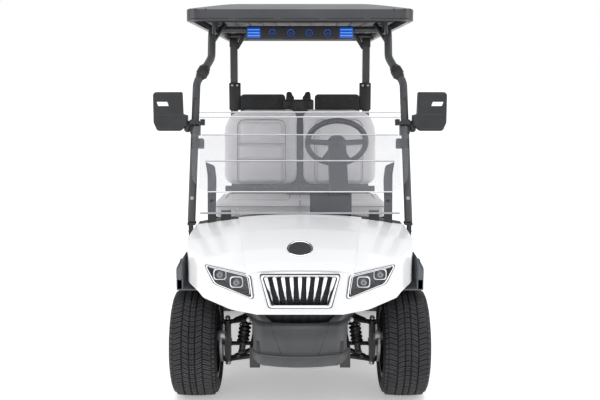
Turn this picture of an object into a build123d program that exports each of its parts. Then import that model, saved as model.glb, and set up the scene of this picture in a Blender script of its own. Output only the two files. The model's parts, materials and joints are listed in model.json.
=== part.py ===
from build123d import *

import math
import os

# Golf cart with a front bench, a rear-facing flip seat and a canopy.
# X points to the cart's left, Y runs rearwards from the front axle, Z is the height above the ground.
# Every length is in millimetres.  The whole cart is moved along Y at the end, so that the
# origin lies on the ground at the middle of its length.

# ---------------------------------------------------------------- overall
WHEELBASE = 1650.0
FRONT_OVERHANG = 560.0
REAR_OVERHANG = 750.0
REAR_END = WHEELBASE + REAR_OVERHANG
MIDDLE_Y = (REAR_END - FRONT_OVERHANG) / 2
SEAT_GAP = 0.3            # air between a solid and the one it is seated on
RUN_CLEARANCE = 0.05      # radial air of a turning or sliding fit

# ---------------------------------------------------------------- wheels
TYRE_RADIUS = 279.5
TYRE_WIDTH = 240.0
TREAD_WIDTH = 200.0
SHOULDER_DROP = 24.0
RIM_RADIUS = 178.0
RIM_WIDTH = 200.0
RIM_WALL = 10.0
FLANGE_HEIGHT = 12.0
FLANGE_WIDTH = 7.0
TRACK_HALF = 536.0
SPOKE_FACE_OUT = 46.0     # outer face of the spokes, outwards from the tyre's middle
SPOKE_THICKNESS = 15.0
SPOKE_WINDOWS = 10
HUB_RADIUS = 38.0
CAP_RADIUS = 44.0
STUB_RADIUS = 16.0
STUB_LENGTH = 115.0
DISC_RADIUS = 105.0
DISC_THICKNESS = 10.0
DRUM_THICKNESS = 60.0
DISC_IN = 134.0           # inner face of disc and drum, inwards from the tyre's middle
AXLE_Z = TYRE_RADIUS

# ---------------------------------------------------------------- steering and front suspension
KINGPIN_X = 378.0
KINGPIN_RADIUS = 8.0
STEER_ARM = 120.0
UPRIGHT_WIDTH = 32.0
UPRIGHT_DEPTH = 44.0
LOWER_ARM_Z = 173.0
LOWER_ARM_THICK = 24.0
UPPER_ARM_Z = 375.0
UPPER_ARM_THICK = 18.0
LOWER_ARM_SPREAD = 84.0
UPPER_ARM_SPREAD = 70.0
LOWER_PIVOT_Z = 235.0
UPPER_PIVOT_Z = 418.0
LOWER_TUBE = 13.0
UPPER_TUBE = 10.0
ARM_END_RADIUS = 24.0
RACK_Z = 230.0
RACK_RADIUS = 11.0
RACK_TUBE_RADIUS = 24.0
RACK_TUBE_HALF = 150.0
ROD_END_RADIUS = 14.0
DAMPER_RADIUS = 17.0
SPRING_RADIUS = 30.0

# ---------------------------------------------------------------- chassis
RAIL_X = 220.0
RAIL_WIDTH = 50.0
RAIL_HEIGHT = 100.0
RAIL_BOTTOM = 250.0
RAIL_FRONT = -340.0
RAIL_REAR_END = 2072.0
KICK_START = 1290.0
KICK_END = 1440.0
KICK_RISE = 190.0
CROSS_SIZE = 60.0
SUBFRAME_HALF = 190.0
SUBFRAME_FRONT = -125.0
SUBFRAME_REAR = 96.0
SUBFRAME_BOTTOM = 215.0
TOWER_TOP = 520.0
TOWER_HALF_LENGTH = 85.0

# ---------------------------------------------------------------- body
WALL = 5.0
BODY_HALF = 590.0
NOSE_Y = -490.0
NOSE_HALF = 200.0
NOSE_BOTTOM = 557.0
BROW_Y = -400.0
BROW_Z = 784.0
GRILLE_TOP = 748.0
GRILLE_BOTTOM = 591.0
HOOD_REAR_Y = 300.0
HOOD_REAR_Z = 900.0
HOOD_CROWN = 3300.0
HOOD_PANEL_RISE = 7.0
ARCH_HALF_LENGTH = 400.0
ARCH_RISE = 325.0
LINER_WALL = 6.0
LINER_INNER = 300.0
FLARE_X = BODY_HALF + 58.0
FLARE_TOP = 705.0
SILL_Z = 330.0
COWL_REAR = 500.0
FLOOR_Z = 350.0
FLOOR_THICK = 18.0
TOE_Y = 425.0
TOE_TOP = 640.0
PEDESTAL_FRONT = 1000.0
PEDESTAL_REAR = 1330.0
PEDESTAL_TOP = 790.0
PEDESTAL_HALF = BODY_HALF - 45.0
REAR_ARCH_RADIUS = 335.0
REAR_BODY_END = 2045.0
REAR_BODY_BOTTOM = 420.0
REAR_DECK_Z = 790.0
REAR_FLARE_X = BODY_HALF + 60.0
REAR_FLARE_WIDTH = 42.0

# ---------------------------------------------------------------- canopy and windshield
TUBE_RADIUS = 22.0
STRUT_X_FOOT = BODY_HALF + 8.0
STRUT_X = BODY_HALF - 5.0
STRUT_FOOT_Y = 310.0
STRUT_FOOT_Z = 860.0
STRUT_BEND_Y = 548.0
STRUT_BEND_Z = 1620.0
STRUT_NECK_Y = 590.0
STRUT_NECK_Z = 1762.0
STRUT_NECK_X = 503.0
RAIL_Z = 1925.0
ROOF_FRONT = 220.0
ROOF_REAR = 2060.0
ROOF_HALF = 603.0
ROOF_LIP_BOTTOM = 1946.0
ROOF_EDGE_Z = 2003.0
ROOF_CREST_Z = 2084.0
ROOF_CREST_Y = 950.0
ROOF_CROWN = 3600.0
ROOF_WALL = 7.0
ROOF_LIP = 26.0
POST_X = 447.0
POST_Y = 1550.0
POST_WIDTH = 48.0
POST_DEPTH = 40.0
PANE = 5.0
PANE_AHEAD = 40.0         # middle of the upper pane ahead of the strut's centre line
PANE_STEP = 12.0          # middle of the lower pane behind the upper pane's
PANE_BOTTOM_Z = 900.0
PIVOT_Z = 1402.5
PIVOT_RADIUS = 5.0
UPPER_PANE_DROP = 395.0   # along the pane, from its pivot to its free edge
UPPER_PANE_LIP = 61.0     # along the pane, from its pivot to its hinge-side edge
UPPER_PANE_HALF = STRUT_X + 12.0
INNER_PANE_HALF = STRUT_X - 33.0
LOWER_PANE_HALF = STRUT_X - 29.0
BRACKET_TOP_Z = 1190.0
RIB_HALF = LOWER_PANE_HALF - 32.0

# ---------------------------------------------------------------- seats
BENCH_HALF = PEDESTAL_HALF - 15.0
BENCH_FRONT = 840.0
BENCH_REAR = 1275.0
BENCH_BOTTOM = PEDESTAL_TOP + SEAT_GAP
BENCH_TOP = 905.0
BACK_HALF = 512.0
BACK_GAP = 24.0
BACK_BOTTOM = 935.0
BACK_HEIGHT = 528.0
BACK_THICK = 105.0
BACK_FRONT_Y = 1310.0
BACK_RECLINE = 9.8
BACK_ROUND = 105.0
SHELL_THICK = 30.0
REAR_SEAT_HALF = 500.0
REAR_SEAT_FRONT = 1600.0
REAR_SEAT_END = REAR_BODY_END - 5.0
REAR_SEAT_TOP = 900.0
REAR_BACK_HALF = POST_X - POST_WIDTH / 2 - SEAT_GAP

# ---------------------------------------------------------------- steering wheel
WHEEL_X = 216.0
WHEEL_Y = 700.0
WHEEL_Z = 1270.0
WHEEL_LEAN = 39.0         # of the column above the horizontal
WHEEL_RADIUS = 172.0
WHEEL_GRIP = 13.0
SHAFT_RADIUS = 12.0
COLUMN_RADIUS = 32.0
COLUMN_TOP = 40.0
COLUMN_LENGTH = 420.0

# ---------------------------------------------------------------- mounts
HITCH_HOLE_RADIUS = 9.75
HITCH_THICK = 12.0


# ================================================================ shape helpers
def outline(corners):
    """A closed face from (u, v) corners, or (u, v, radius) where a corner is rounded."""
    face = Polygon(*[corner[:2] for corner in corners], align=None)
    for corner in corners:
        if len(corner) == 3:
            vertex = face.vertices().sort_by_distance((corner[0], corner[1], 0))[0]
            face = fillet(vertex, corner[2])
    return face


def along_x(corners, x0, x1):
    """A side outline of (Y, Z) corners, from x0 to x1."""
    return extrude(Pos(x0, 0, 0) * (Plane.YZ * outline(corners)), amount=x1 - x0, dir=(1, 0, 0))


def along_y(corners, y0, y1):
    """A front outline of (X, Z) corners, from y0 to y1."""
    return extrude(Pos(0, y0, 0) * (Plane.XZ * outline(corners)), amount=y1 - y0, dir=(0, 1, 0))


def along_z(corners, z0, z1):
    """A plan outline of (X, Y) corners, from z0 to z1."""
    return extrude(Pos(0, 0, z0) * outline(corners), amount=z1 - z0, dir=(0, 0, 1))


def block(x0, x1, y0, y1, z0, z1):
    """A box between two corners."""
    return Pos((x0 + x1) / 2, (y0 + y1) / 2, (z0 + z1) / 2) * Box(x1 - x0, y1 - y0, z1 - z0)


def rod(start, end, radius):
    """A round bar between two points."""
    line = Vector(*end) - Vector(*start)
    stand = (Align.CENTER, Align.CENTER, Align.MIN)
    return Plane(origin=start, z_dir=line) * Cylinder(radius, line.length, align=stand)


def both(half):
    """The corners of a half outline at +X, and the same corners mirrored, as one closed outline."""
    return list(half) + [(-corner[0],) + tuple(corner[1:]) for corner in reversed(half)]


def mirrored(shape):
    """The same shape on the cart's other side."""
    return mirror(shape, about=Plane.YZ)


def pair(shape):
    """A shape and its copy on the other side."""
    return [shape, mirrored(shape)]


def crowned(profile, crest, crown_radius, half_width):
    """A side profile swept over a wide arc, so that its top bows down towards both sides."""
    axis = Axis((0, 0, crest - crown_radius), (0, 1, 0))
    lowest = crown_radius - crest + min(corner[1] for corner in profile)
    spread = math.degrees(math.asin(half_width / lowest))
    face = (Plane.YZ * outline(profile)).rotate(axis, -spread)
    return revolve(face, axis, 2 * spread)


def oval(half_length, rise, x0, x1, centre_y=0.0):
    """An elliptic cylinder along X about an axle."""
    face = Pos(x0, centre_y, AXLE_Z) * (Plane.YZ * Ellipse(half_length, rise))
    return extrude(face, amount=x1 - x0, dir=(1, 0, 0))


def disc_x(radius, x0, x1, y=0.0, z=AXLE_Z):
    """A round disc or bar along X."""
    return rod((x0, y, z), (x1, y, z), radius)


nodes = {}


# ================================================================ wheels
def tyre(side, y):
    """One tyre, as a ring with a flat tread; side is +1 on the left and -1 on the right."""
    bead = RIM_WIDTH / 2 - SEAT_GAP
    bore = RIM_RADIUS + SEAT_GAP
    half = [(TYRE_RADIUS, TREAD_WIDTH / 2 - 6.0), (TYRE_RADIUS - SHOULDER_DROP, TYRE_WIDTH / 2)]
    half += [(RIM_RADIUS + FLANGE_HEIGHT + SEAT_GAP, bead), (bore, bead)]
    profile = [(across, up) for up, across in half]
    profile += [(-across, up) for up, across in reversed(half)]
    face = Plane.XZ * outline(profile)
    ring = revolve(face, Axis.X, 360)
    return Pos(side * TRACK_HALF, y, AXLE_Z) * ring


def wheel(side, y, brake_radius, brake_thick):
    """One alloy rim with its hub and its brake disc or drum."""
    half = RIM_WIDTH / 2
    inner = RIM_RADIUS - RIM_WALL
    rim = disc_x(RIM_RADIUS, -half, half, z=0)
    for edge in (-half - FLANGE_WIDTH, half):
        rim += disc_x(RIM_RADIUS + FLANGE_HEIGHT, edge, edge + FLANGE_WIDTH, z=0)
    mouth = half + FLANGE_WIDTH + 1
    rim -= disc_x(inner, -mouth, SPOKE_FACE_OUT - SPOKE_THICKNESS, z=0)
    rim -= disc_x(inner, SPOKE_FACE_OUT, mouth, z=0)
    window_in = CAP_RADIUS + 22.0
    window_out = inner - 12.0
    half_angle = math.radians(180.0 / SPOKE_WINDOWS) * 0.62
    window = [(window_in, -window_in * math.tan(half_angle), 6.0)]
    window += [(window_out, -window_out * math.tan(half_angle), 12.0)]
    window += [(window_out, window_out * math.tan(half_angle), 12.0)]
    window += [(window_in, window_in * math.tan(half_angle), 6.0)]
    cut = along_x(window, SPOKE_FACE_OUT - SPOKE_THICKNESS - 1, SPOKE_FACE_OUT + 1)
    for turn in range(SPOKE_WINDOWS):
        rim -= Rot(X=turn * 360.0 / SPOKE_WINDOWS) * cut
    rim += disc_x(CAP_RADIUS, SPOKE_FACE_OUT, SPOKE_FACE_OUT + 12.0, z=0)
    rim += disc_x(HUB_RADIUS, -DISC_IN, SPOKE_FACE_OUT - SPOKE_THICKNESS, z=0)
    rim += disc_x(brake_radius, -DISC_IN, -DISC_IN + brake_thick, z=0)
    rim -= disc_x(STUB_RADIUS + RUN_CLEARANCE, -DISC_IN - 1, -DISC_IN + STUB_LENGTH + 2.0, z=0)
    if side < 0:
        rim = mirrored(rim)
    return Pos(side * TRACK_HALF, y, AXLE_Z) * rim


for end, station, brake in (("front", 0.0, DISC_THICKNESS), ("rear", WHEELBASE, DRUM_THICKNESS)):
    for hand, way in (("left", 1), ("right", -1)):
        nodes[f"tyre_{end}_{hand}"] = tyre(way, station)
        nodes[f"wheel_{end}_{hand}"] = wheel(way, station, DISC_RADIUS, brake)


# ================================================================ steering knuckles
LOWER_ARM_TOP = LOWER_ARM_Z + LOWER_ARM_THICK
UPPER_ARM_TOP = UPPER_ARM_Z + UPPER_ARM_THICK
DISC_FACE_X = TRACK_HALF - DISC_IN
STEER_ARM_BOTTOM = RACK_Z + RACK_RADIUS + SEAT_GAP
STEER_ARM_THICK = 16.0


def knuckle():
    """The left upright with its kingpin, stub axle and steering arm."""
    half = UPRIGHT_WIDTH / 2
    deep = UPRIGHT_DEPTH / 2
    post = block(KINGPIN_X - half, KINGPIN_X + half, -deep, deep,
                 LOWER_ARM_TOP + SEAT_GAP, UPPER_ARM_Z - SEAT_GAP)
    post += rod((KINGPIN_X, 0, LOWER_ARM_Z - 6.0), (KINGPIN_X, 0, UPPER_ARM_TOP + 8.0), KINGPIN_RADIUS)
    post += disc_x(STUB_RADIUS, KINGPIN_X, DISC_FACE_X + STUB_LENGTH)
    arm = [(KINGPIN_X - 14.0, 0), (KINGPIN_X + 14.0, 0)]
    arm += [(KINGPIN_X + 12.0, STEER_ARM + 12.0, 10.0), (KINGPIN_X - 12.0, STEER_ARM + 12.0, 10.0)]
    post += along_z(arm, STEER_ARM_BOTTOM, STEER_ARM_BOTTOM + STEER_ARM_THICK)
    return post


nodes["knuckle_left"] = knuckle()
nodes["knuckle_right"] = mirrored(knuckle())

# ================================================================ rack and tie rods
ROD_END_X = KINGPIN_X - 2.0
rack = disc_x(RACK_RADIUS, -ROD_END_X, ROD_END_X, y=STEER_ARM, z=RACK_Z)
for way in (1, -1):
    eye_top = STEER_ARM_BOTTOM - SEAT_GAP
    rack += rod((way * KINGPIN_X, STEER_ARM, RACK_Z - 12.0), (way * KINGPIN_X, STEER_ARM, eye_top),
                ROD_END_RADIUS)
nodes["tie_rods"] = rack


# ================================================================ wishbones
def wishbone(inner_x, spread, inner_z, z0, thick, tube):
    """One A-shaped arm of two tubes, from the subframe out to its eye on the kingpin."""
    middle = z0 + thick / 2
    shape = rod((KINGPIN_X, 0, z0), (KINGPIN_X, 0, z0 + thick), ARM_END_RADIUS)
    for way in (1, -1):
        shape += rod((inner_x, way * spread, inner_z), (KINGPIN_X - 12.0, way * 6.0, middle), tube)
    shape -= block(inner_x - 40.0, inner_x, -300.0, 300.0, z0 - 100.0, z0 + 200.0)
    shape -= block(KINGPIN_X - UPRIGHT_WIDTH, KINGPIN_X + 40.0, -60.0, 60.0, z0 + thick, z0 + thick + 60.0)
    shape -= block(KINGPIN_X - UPRIGHT_WIDTH, KINGPIN_X + 40.0, -60.0, 60.0, z0 - 60.0, z0)
    shape -= rod((KINGPIN_X, 0, z0 - 1), (KINGPIN_X, 0, z0 + thick + 1), KINGPIN_RADIUS + RUN_CLEARANCE)
    return shape


LOWER_INNER = SUBFRAME_HALF + SEAT_GAP
UPPER_INNER = RAIL_X + RAIL_WIDTH / 2 + SEAT_GAP
DAMPER_FOOT_X = 306.0
SEAT_PLATE_TOP = 214.0
lower_arm = wishbone(LOWER_INNER, LOWER_ARM_SPREAD, LOWER_PIVOT_Z, LOWER_ARM_Z, LOWER_ARM_THICK, LOWER_TUBE)
lower_arm += block(DAMPER_FOOT_X - 22.0, DAMPER_FOOT_X + 22.0, -40.0, 40.0, SEAT_PLATE_TOP - 14.0, SEAT_PLATE_TOP)
upper_arm = wishbone(UPPER_INNER, UPPER_ARM_SPREAD, UPPER_PIVOT_Z, UPPER_ARM_Z, UPPER_ARM_THICK, UPPER_TUBE)
nodes["wishbones"] = pair(lower_arm) + pair(upper_arm)

# ================================================================ chassis rails and crossmembers
RAIL_IN = RAIL_X - RAIL_WIDTH / 2
RAIL_OUT = RAIL_X + RAIL_WIDTH / 2
RAIL_TOP = RAIL_BOTTOM + RAIL_HEIGHT
REAR_RAIL_BOTTOM = RAIL_BOTTOM + KICK_RISE
REAR_RAIL_TOP = REAR_RAIL_BOTTOM + RAIL_HEIGHT
KICK_SHIFT = 40.0
rail = [(RAIL_FRONT, RAIL_BOTTOM), (KICK_START, RAIL_BOTTOM), (KICK_END, REAR_RAIL_BOTTOM)]
rail += [(RAIL_REAR_END, REAR_RAIL_BOTTOM), (RAIL_REAR_END, REAR_RAIL_TOP)]
rail += [(KICK_END - KICK_SHIFT, REAR_RAIL_TOP), (KICK_START - KICK_SHIFT, RAIL_TOP), (RAIL_FRONT, RAIL_TOP)]
nodes["chassis_rails"] = pair(along_x(rail, RAIL_IN, RAIL_OUT))

CROSS_HALF = RAIL_IN - SEAT_GAP
BEAM_FRONT = -475.0
BEAM_BOTTOM = 308.0 + SEAT_GAP
crossmembers = []
for rear_edge, bottom in ((RAIL_FRONT + CROSS_SIZE, RAIL_BOTTOM), (560.0, RAIL_BOTTOM),
                          (900.0, RAIL_BOTTOM), (RAIL_REAR_END, REAR_RAIL_BOTTOM)):
    crossmembers.append(block(-CROSS_HALF, CROSS_HALF, rear_edge - CROSS_SIZE, rear_edge,
                              bottom, bottom + CROSS_SIZE))
plate_front = RAIL_FRONT - SEAT_GAP - 12.0
beam = block(-RAIL_OUT, RAIL_OUT, plate_front, RAIL_FRONT - SEAT_GAP, 262.0, 420.0)
beam += block(-205.0, 205.0, BEAM_FRONT, BEAM_FRONT + 40.0, BEAM_BOTTOM, 420.0)
for way in (1, -1):
    beam += block(way * 140.0 - 22.0, way * 140.0 + 22.0, BEAM_FRONT + 20.0, plate_front + 6.0, 330.0, 400.0)
crossmembers.append(beam)
nodes["crossmembers"] = crossmembers

# ================================================================ front subframe with rack housing
DAMPER_TOP_Z = 490.0
DAMPER_TOP_X = 269.0
subframe = block(-SUBFRAME_HALF, SUBFRAME_HALF, SUBFRAME_FRONT, SUBFRAME_REAR, SUBFRAME_BOTTOM, RAIL_BOTTOM)
for plate_y in (SUBFRAME_FRONT, -10.0):
    subframe += block(-RAIL_OUT, RAIL_OUT, plate_y, plate_y + 20.0, RAIL_BOTTOM - 12.0, RAIL_BOTTOM - SEAT_GAP)
subframe += block(-120.0, 120.0, SUBFRAME_REAR - 10.0, STEER_ARM, RACK_Z - 16.0, RACK_Z + 16.0)
subframe += disc_x(RACK_TUBE_RADIUS, -RACK_TUBE_HALF, RACK_TUBE_HALF, y=STEER_ARM, z=RACK_Z)
subframe -= disc_x(RACK_RADIUS + RUN_CLEARANCE, -RACK_TUBE_HALF - 1, RACK_TUBE_HALF + 1, y=STEER_ARM, z=RACK_Z)
tower = block(RAIL_IN, RAIL_OUT, -TOWER_HALF_LENGTH - 10.0, TOWER_HALF_LENGTH + 10.0, RAIL_TOP, TOWER_TOP)
tower += block(RAIL_IN, DAMPER_TOP_X + 16.0, -22.0, 22.0, DAMPER_TOP_Z + SEAT_GAP, TOWER_TOP)
nodes["front_subframe"] = [subframe] + pair(tower)


def damper():
    """One front spring and damper, standing on the lower arm."""
    foot = (DAMPER_FOOT_X, 0, SEAT_PLATE_TOP + 10.0)
    head = (DAMPER_TOP_X, 0, DAMPER_TOP_Z - 2.0)
    line = Vector(*head) - Vector(*foot)
    coils = 6
    start = 0.16 * line.length
    pitch = 0.60 * line.length / coils
    profile = [(0, 0), (DAMPER_RADIUS, 0), (DAMPER_RADIUS, start)]
    for turn in range(coils):
        profile += [(SPRING_RADIUS - 4.0, start + turn * pitch + 0.01)]
        profile += [(SPRING_RADIUS - 4.0, start + (turn + 0.55) * pitch)]
        profile += [(SPRING_RADIUS - 11.0, start + (turn + 0.6) * pitch)]
        profile += [(SPRING_RADIUS - 11.0, start + (turn + 0.95) * pitch)]
    profile += [(DAMPER_RADIUS - 6.0, start + coils * pitch + 0.01)]
    profile += [(DAMPER_RADIUS - 6.0, line.length), (0, line.length)]
    body = revolve(Plane.XZ * outline(profile), Axis.Z, 360)
    body = Plane(origin=foot, z_dir=line) * body
    body += block(DAMPER_FOOT_X - 14.0, DAMPER_FOOT_X + 16.0, -26.0, 26.0,
                  SEAT_PLATE_TOP + SEAT_GAP, SEAT_PLATE_TOP + 16.0)
    body += rod((DAMPER_TOP_X, 0, DAMPER_TOP_Z - 16.0), (DAMPER_TOP_X, 0, DAMPER_TOP_Z), 12.0)
    return body


nodes["front_dampers"] = pair(damper())

# ================================================================ body panels at the front
ARCH = (ARCH_HALF_LENGTH, ARCH_RISE)


def cowl_form(inset):
    """The solid under the hood and nose surfaces, moved inwards by inset."""
    front = NOSE_Y + inset
    top = [(front, 250.0), (front, GRILLE_TOP - inset, 30.0), (BROW_Y, BROW_Z - inset, 60.0)]
    top += [(-280.0, 822.0 - inset, 300.0), (0.0, 868.0 - inset, 500.0)]
    top += [(HOOD_REAR_Y, HOOD_REAR_Z - inset), (620.0, HOOD_REAR_Z + 20.0 - inset), (620.0, 250.0)]
    form = crowned(top, HOOD_REAR_Z, HOOD_CROWN, BODY_HALF + 20.0)
    side = BODY_HALF - inset
    plan = [(NOSE_HALF - inset * 0.3, front), (BODY_HALF - 120.0 - inset * 0.6, -300.0 + inset * 0.8, 60.0)]
    plan += [(BODY_HALF - 28.0 - inset, -130.0, 140.0), (side, 40.0, 300.0), (side, 620.0)]
    form &= along_z(both(plan), 260.0, 980.0)
    shoulder = [(side, 260.0), (side, 815.0 - inset * 0.6, 30.0)]
    shoulder += [(BODY_HALF - 32.0 - inset * 0.5, 870.0 - inset, 30.0), (BODY_HALF - 90.0, 960.0)]
    form &= along_y(both(shoulder), -600.0, 620.0)
    return form


def hood_panel(inset):
    """The raised middle of the hood between its two creases."""
    plan = [(250.0, -470.0), (262.0, -400.0), (338.0, HOOD_REAR_Y - 0.1)]
    return cowl_form(inset - HOOD_PANEL_RISE) & along_z(both(plan), 700.0, 980.0)


def oval_arch(extra, x0, x1):
    """The space over a front wheel, grown by extra all round."""
    return oval(ARCH[0] + extra, ARCH[1] + extra, x0, x1)


GRILLE_CORNERS = [(144.0, GRILLE_BOTTOM, 12.0), (185.0, GRILLE_TOP, 12.0)]
LAMP_CORNERS = [(217.0, 628.0, 8.0), (414.0, 670.0, 40.0), (462.0, 756.0, 8.0), (232.0, 741.0, 14.0)]
REACH_IN = NOSE_Y - 60.0


def grown(corners, amount):
    """The outline with every corner pushed away from its middle by amount each way."""
    middle_u = sum(corner[0] for corner in corners) / len(corners)
    middle_v = sum(corner[1] for corner in corners) / len(corners)
    result = []
    for corner in corners:
        u = corner[0] + math.copysign(amount, corner[0] - middle_u)
        v = corner[1] + math.copysign(amount, corner[1] - middle_v)
        result.append((u, v) + tuple(corner[2:]))
    return result


side_view = [(-600.0, NOSE_BOTTOM), (-400.0, NOSE_BOTTOM, 60.0), (-250.0, 606.0, 120.0), (-60.0, 640.0)]
side_view += [(60.0, 640.0), (60.0, SILL_Z), (COWL_REAR, SILL_Z), (COWL_REAR, 480.0, 60.0)]
side_view += [(430.0, 700.0, 80.0), (HOOD_REAR_Y + 20.0, 840.0, 20.0)]
side_view += [(HOOD_REAR_Y, 850.0), (HOOD_REAR_Y, 980.0), (-600.0, 980.0)]
cowl = cowl_form(0) + hood_panel(0)
cowl &= along_x(side_view, -700.0, 700.0)
cowl -= cowl_form(WALL) & block(-700.0, 700.0, -600.0, 700.0, 200.0, 1000.0)
cowl -= oval_arch(LINER_WALL + SEAT_GAP, -700.0, 700.0)
cowl -= along_y(grown(both(GRILLE_CORNERS), SEAT_GAP), REACH_IN, NOSE_Y + 60.0)
for lamp_hole in pair(along_y(grown(LAMP_CORNERS, SEAT_GAP), REACH_IN, -200.0)):
    cowl -= lamp_hole
nodes["front_cowl"] = cowl

# grille: a frame, upright bars and a dark back plate
GRILLE_BARS = 9
GRILLE_FRAME = 9.0
grille_front = NOSE_Y - 5.0
grille = along_y(both(GRILLE_CORNERS), grille_front, NOSE_Y + 26.0)
inside = [(144.0 - GRILLE_FRAME, GRILLE_BOTTOM + GRILLE_FRAME), (185.0 - GRILLE_FRAME, GRILLE_TOP - GRILLE_FRAME)]
grille -= along_y(both(inside), grille_front - 1.0, NOSE_Y + 22.0)
for place in range(GRILLE_BARS):
    share = (place - (GRILLE_BARS - 1) / 2) / ((GRILLE_BARS - 1) / 2)
    low = share * 124.0
    high = share * 160.0
    bar = [(low - 4.0, GRILLE_BOTTOM + 4.0), (high - 9.0, GRILLE_TOP - 4.0)]
    bar += [(high + 9.0, GRILLE_TOP - 4.0), (low + 4.0, GRILLE_BOTTOM + 4.0)]
    grille += along_y(bar, NOSE_Y + 2.0, NOSE_Y + 24.0)
nodes["grille"] = grille

# headlamps: slabs that follow the cowl, a little proud of it
lamp = along_y(LAMP_CORNERS, REACH_IN, -200.0) & (cowl_form(-3.0) - cowl_form(40.0))
nodes["headlamps"] = pair(lamp)


# ================================================================ front flares with wheel liners
def front_flare():
    """The left eyebrow over the front wheel and the liner that runs inwards from it."""
    brow = [(-205.0, 560.0), (-150.0, 650.0, 50.0), (-60.0, FLARE_TOP, 80.0), (160.0, FLARE_TOP, 120.0)]
    brow += [(400.0, 560.0, 120.0), (452.0, 400.0, 60.0), (452.0, SILL_Z + 20.0), (300.0, SILL_Z + 20.0)]
    brow += [(300.0, 470.0), (-205.0, 470.0)]
    x_in = BODY_HALF + SEAT_GAP
    skin = 8.0
    shape = along_x(brow, x_in, FLARE_X)
    section = [(x_in, 300.0), (x_in, FLARE_TOP + 1), (x_in + 8.0, FLARE_TOP + 1), (FLARE_X, 660.0, 12.0), (FLARE_X, 300.0)]
    shape &= along_y(section, -300.0, 500.0)
    pocket = [(-196.0, 470.0), (-196.0, 566.0), (-144.0, 642.0, 44.0), (-60.0, FLARE_TOP - 24.0, 72.0)]
    pocket += [(156.0, FLARE_TOP - 24.0, 112.0), (392.0, 556.0, 112.0), (444.0, 398.0, 52.0), (444.0, SILL_Z)]
    pocket += [(290.0, SILL_Z), (290.0, 470.0)]
    hollow = along_x(pocket, x_in + skin, FLARE_X - skin) - oval_arch(LINER_WALL, x_in, FLARE_X)
    shape -= hollow
    shape += (oval_arch(LINER_WALL, LINER_INNER, FLARE_X - skin - 4.0)
              & block(LINER_INNER, FLARE_X, -205.0, 452.0, SILL_Z + 20.0, 700.0))
    shape -= oval_arch(0, 0, 700.0)
    return shape


nodes["front_flares"] = pair(front_flare())

# ================================================================ front bumper
BUMPER_TOP = 506.0
BUMPER_BOTTOM = 303.0


def bumper_form(inset):
    """The bumper cover's solid, moved inwards by inset."""
    side = [(-360.0, BUMPER_BOTTOM + inset), (-490.0, BUMPER_BOTTOM + inset, 20.0)]
    side += [(-540.0 + inset, 355.0), (-FRONT_OVERHANG + inset, 436.0), (-FRONT_OVERHANG + inset, 456.0)]
    side += [(-500.0 + inset * 0.5, BUMPER_TOP - inset), (-470.0, 545.0 - inset), (-360.0, 545.0 - inset)]
    form = along_x(side, -300.0, 300.0)
    plan = [(140.0 - inset * 0.3, -FRONT_OVERHANG + inset), (268.0 - inset, -455.0 + inset * 0.5)]
    plan += [(284.0 - inset, -360.0)]
    form &= along_z(both(plan), 280.0, 600.0)
    front = [(215.0, BUMPER_BOTTOM + inset), (262.0 - inset, 330.0), (284.0 - inset, 470.0)]
    front += [(284.0 - inset, 545.0 - inset), (215.0, 545.0 - inset), (165.0, BUMPER_TOP - inset)]
    form &= along_y(both(front), -600.0, -300.0)
    return form


bumper = bumper_form(0) - bumper_form(WALL)
nodes["front_bumper"] = bumper

# ================================================================ floor, dashboard, pedals, sills
FLOOR_TOP = FLOOR_Z + FLOOR_THICK
FLOOR_HALF = BODY_HALF - WALL - SEAT_GAP
floor_end = PEDESTAL_REAR - 85.0
floor = [(TOE_Y, FLOOR_Z), (floor_end, FLOOR_Z), (floor_end, FLOOR_TOP)]
floor += [(TOE_Y + 110.0, FLOOR_TOP), (TOE_Y + FLOOR_THICK, FLOOR_TOP + 110.0), (TOE_Y + FLOOR_THICK, TOE_TOP)]
floor += [(TOE_Y, TOE_TOP), (TOE_Y, 470.0)]
nodes["floor_pan"] = along_x(floor, -FLOOR_HALF, FLOOR_HALF)

COLUMN_UNIT = Vector(0, math.cos(math.radians(WHEEL_LEAN)), math.sin(math.radians(WHEEL_LEAN)))
WHEEL_CENTRE = Vector(WHEEL_X, WHEEL_Y, WHEEL_Z)
wheel_plane = Plane(origin=WHEEL_CENTRE, x_dir=(1, 0, 0), z_dir=COLUMN_UNIT)
SHROUD_WIDTH = 104.0
SHROUD_DEPTH = 84.0
SHROUD_TOP = 70.0
SHROUD_END = 430.0


def shroud_form(extra):
    """The box round the steering column, grown by extra."""
    length = SHROUD_END - SHROUD_TOP
    middle = -(SHROUD_TOP + SHROUD_END) / 2
    return wheel_plane * (Pos(0, 0, middle) * Box(SHROUD_WIDTH + 2 * extra, SHROUD_DEPTH + 2 * extra, length))


dash_top = [(HOOD_REAR_Y + 6.0, 600.0), (HOOD_REAR_Y + 6.0, 893.0), (340.0, 903.0, 20.0), (440.0, 896.0, 60.0)]
dash_top += [(490.0, 850.0, 30.0), (490.0, 560.0), (400.0, 560.0)]
dash = crowned(dash_top, HOOD_REAR_Z, HOOD_CROWN, BODY_HALF)
dash_side = [(HOOD_REAR_Y + 6.0, 700.0), (HOOD_REAR_Y + 6.0, 950.0), (520.0, 950.0), (520.0, 800.0)]
dash_side += [(450.0, TOE_TOP + SEAT_GAP), (TOE_Y - 20.0, TOE_TOP + SEAT_GAP), (370.0, 700.0)]
dash &= along_x(dash_side, -700.0, 700.0)
dash &= cowl_form(WALL + SEAT_GAP)
binnacle = [(352.0, 860.0), (352.0, 1000.0, 20.0), (400.0, 1035.0, 20.0), (455.0, 1000.0, 20.0), (480.0, 880.0)]
binnacle += [(440.0, 860.0)]
dash += along_x(binnacle, WHEEL_X - 160.0, WHEEL_X + 70.0)
dash -= shroud_form(SEAT_GAP)
nodes["dashboard"] = dash

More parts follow.
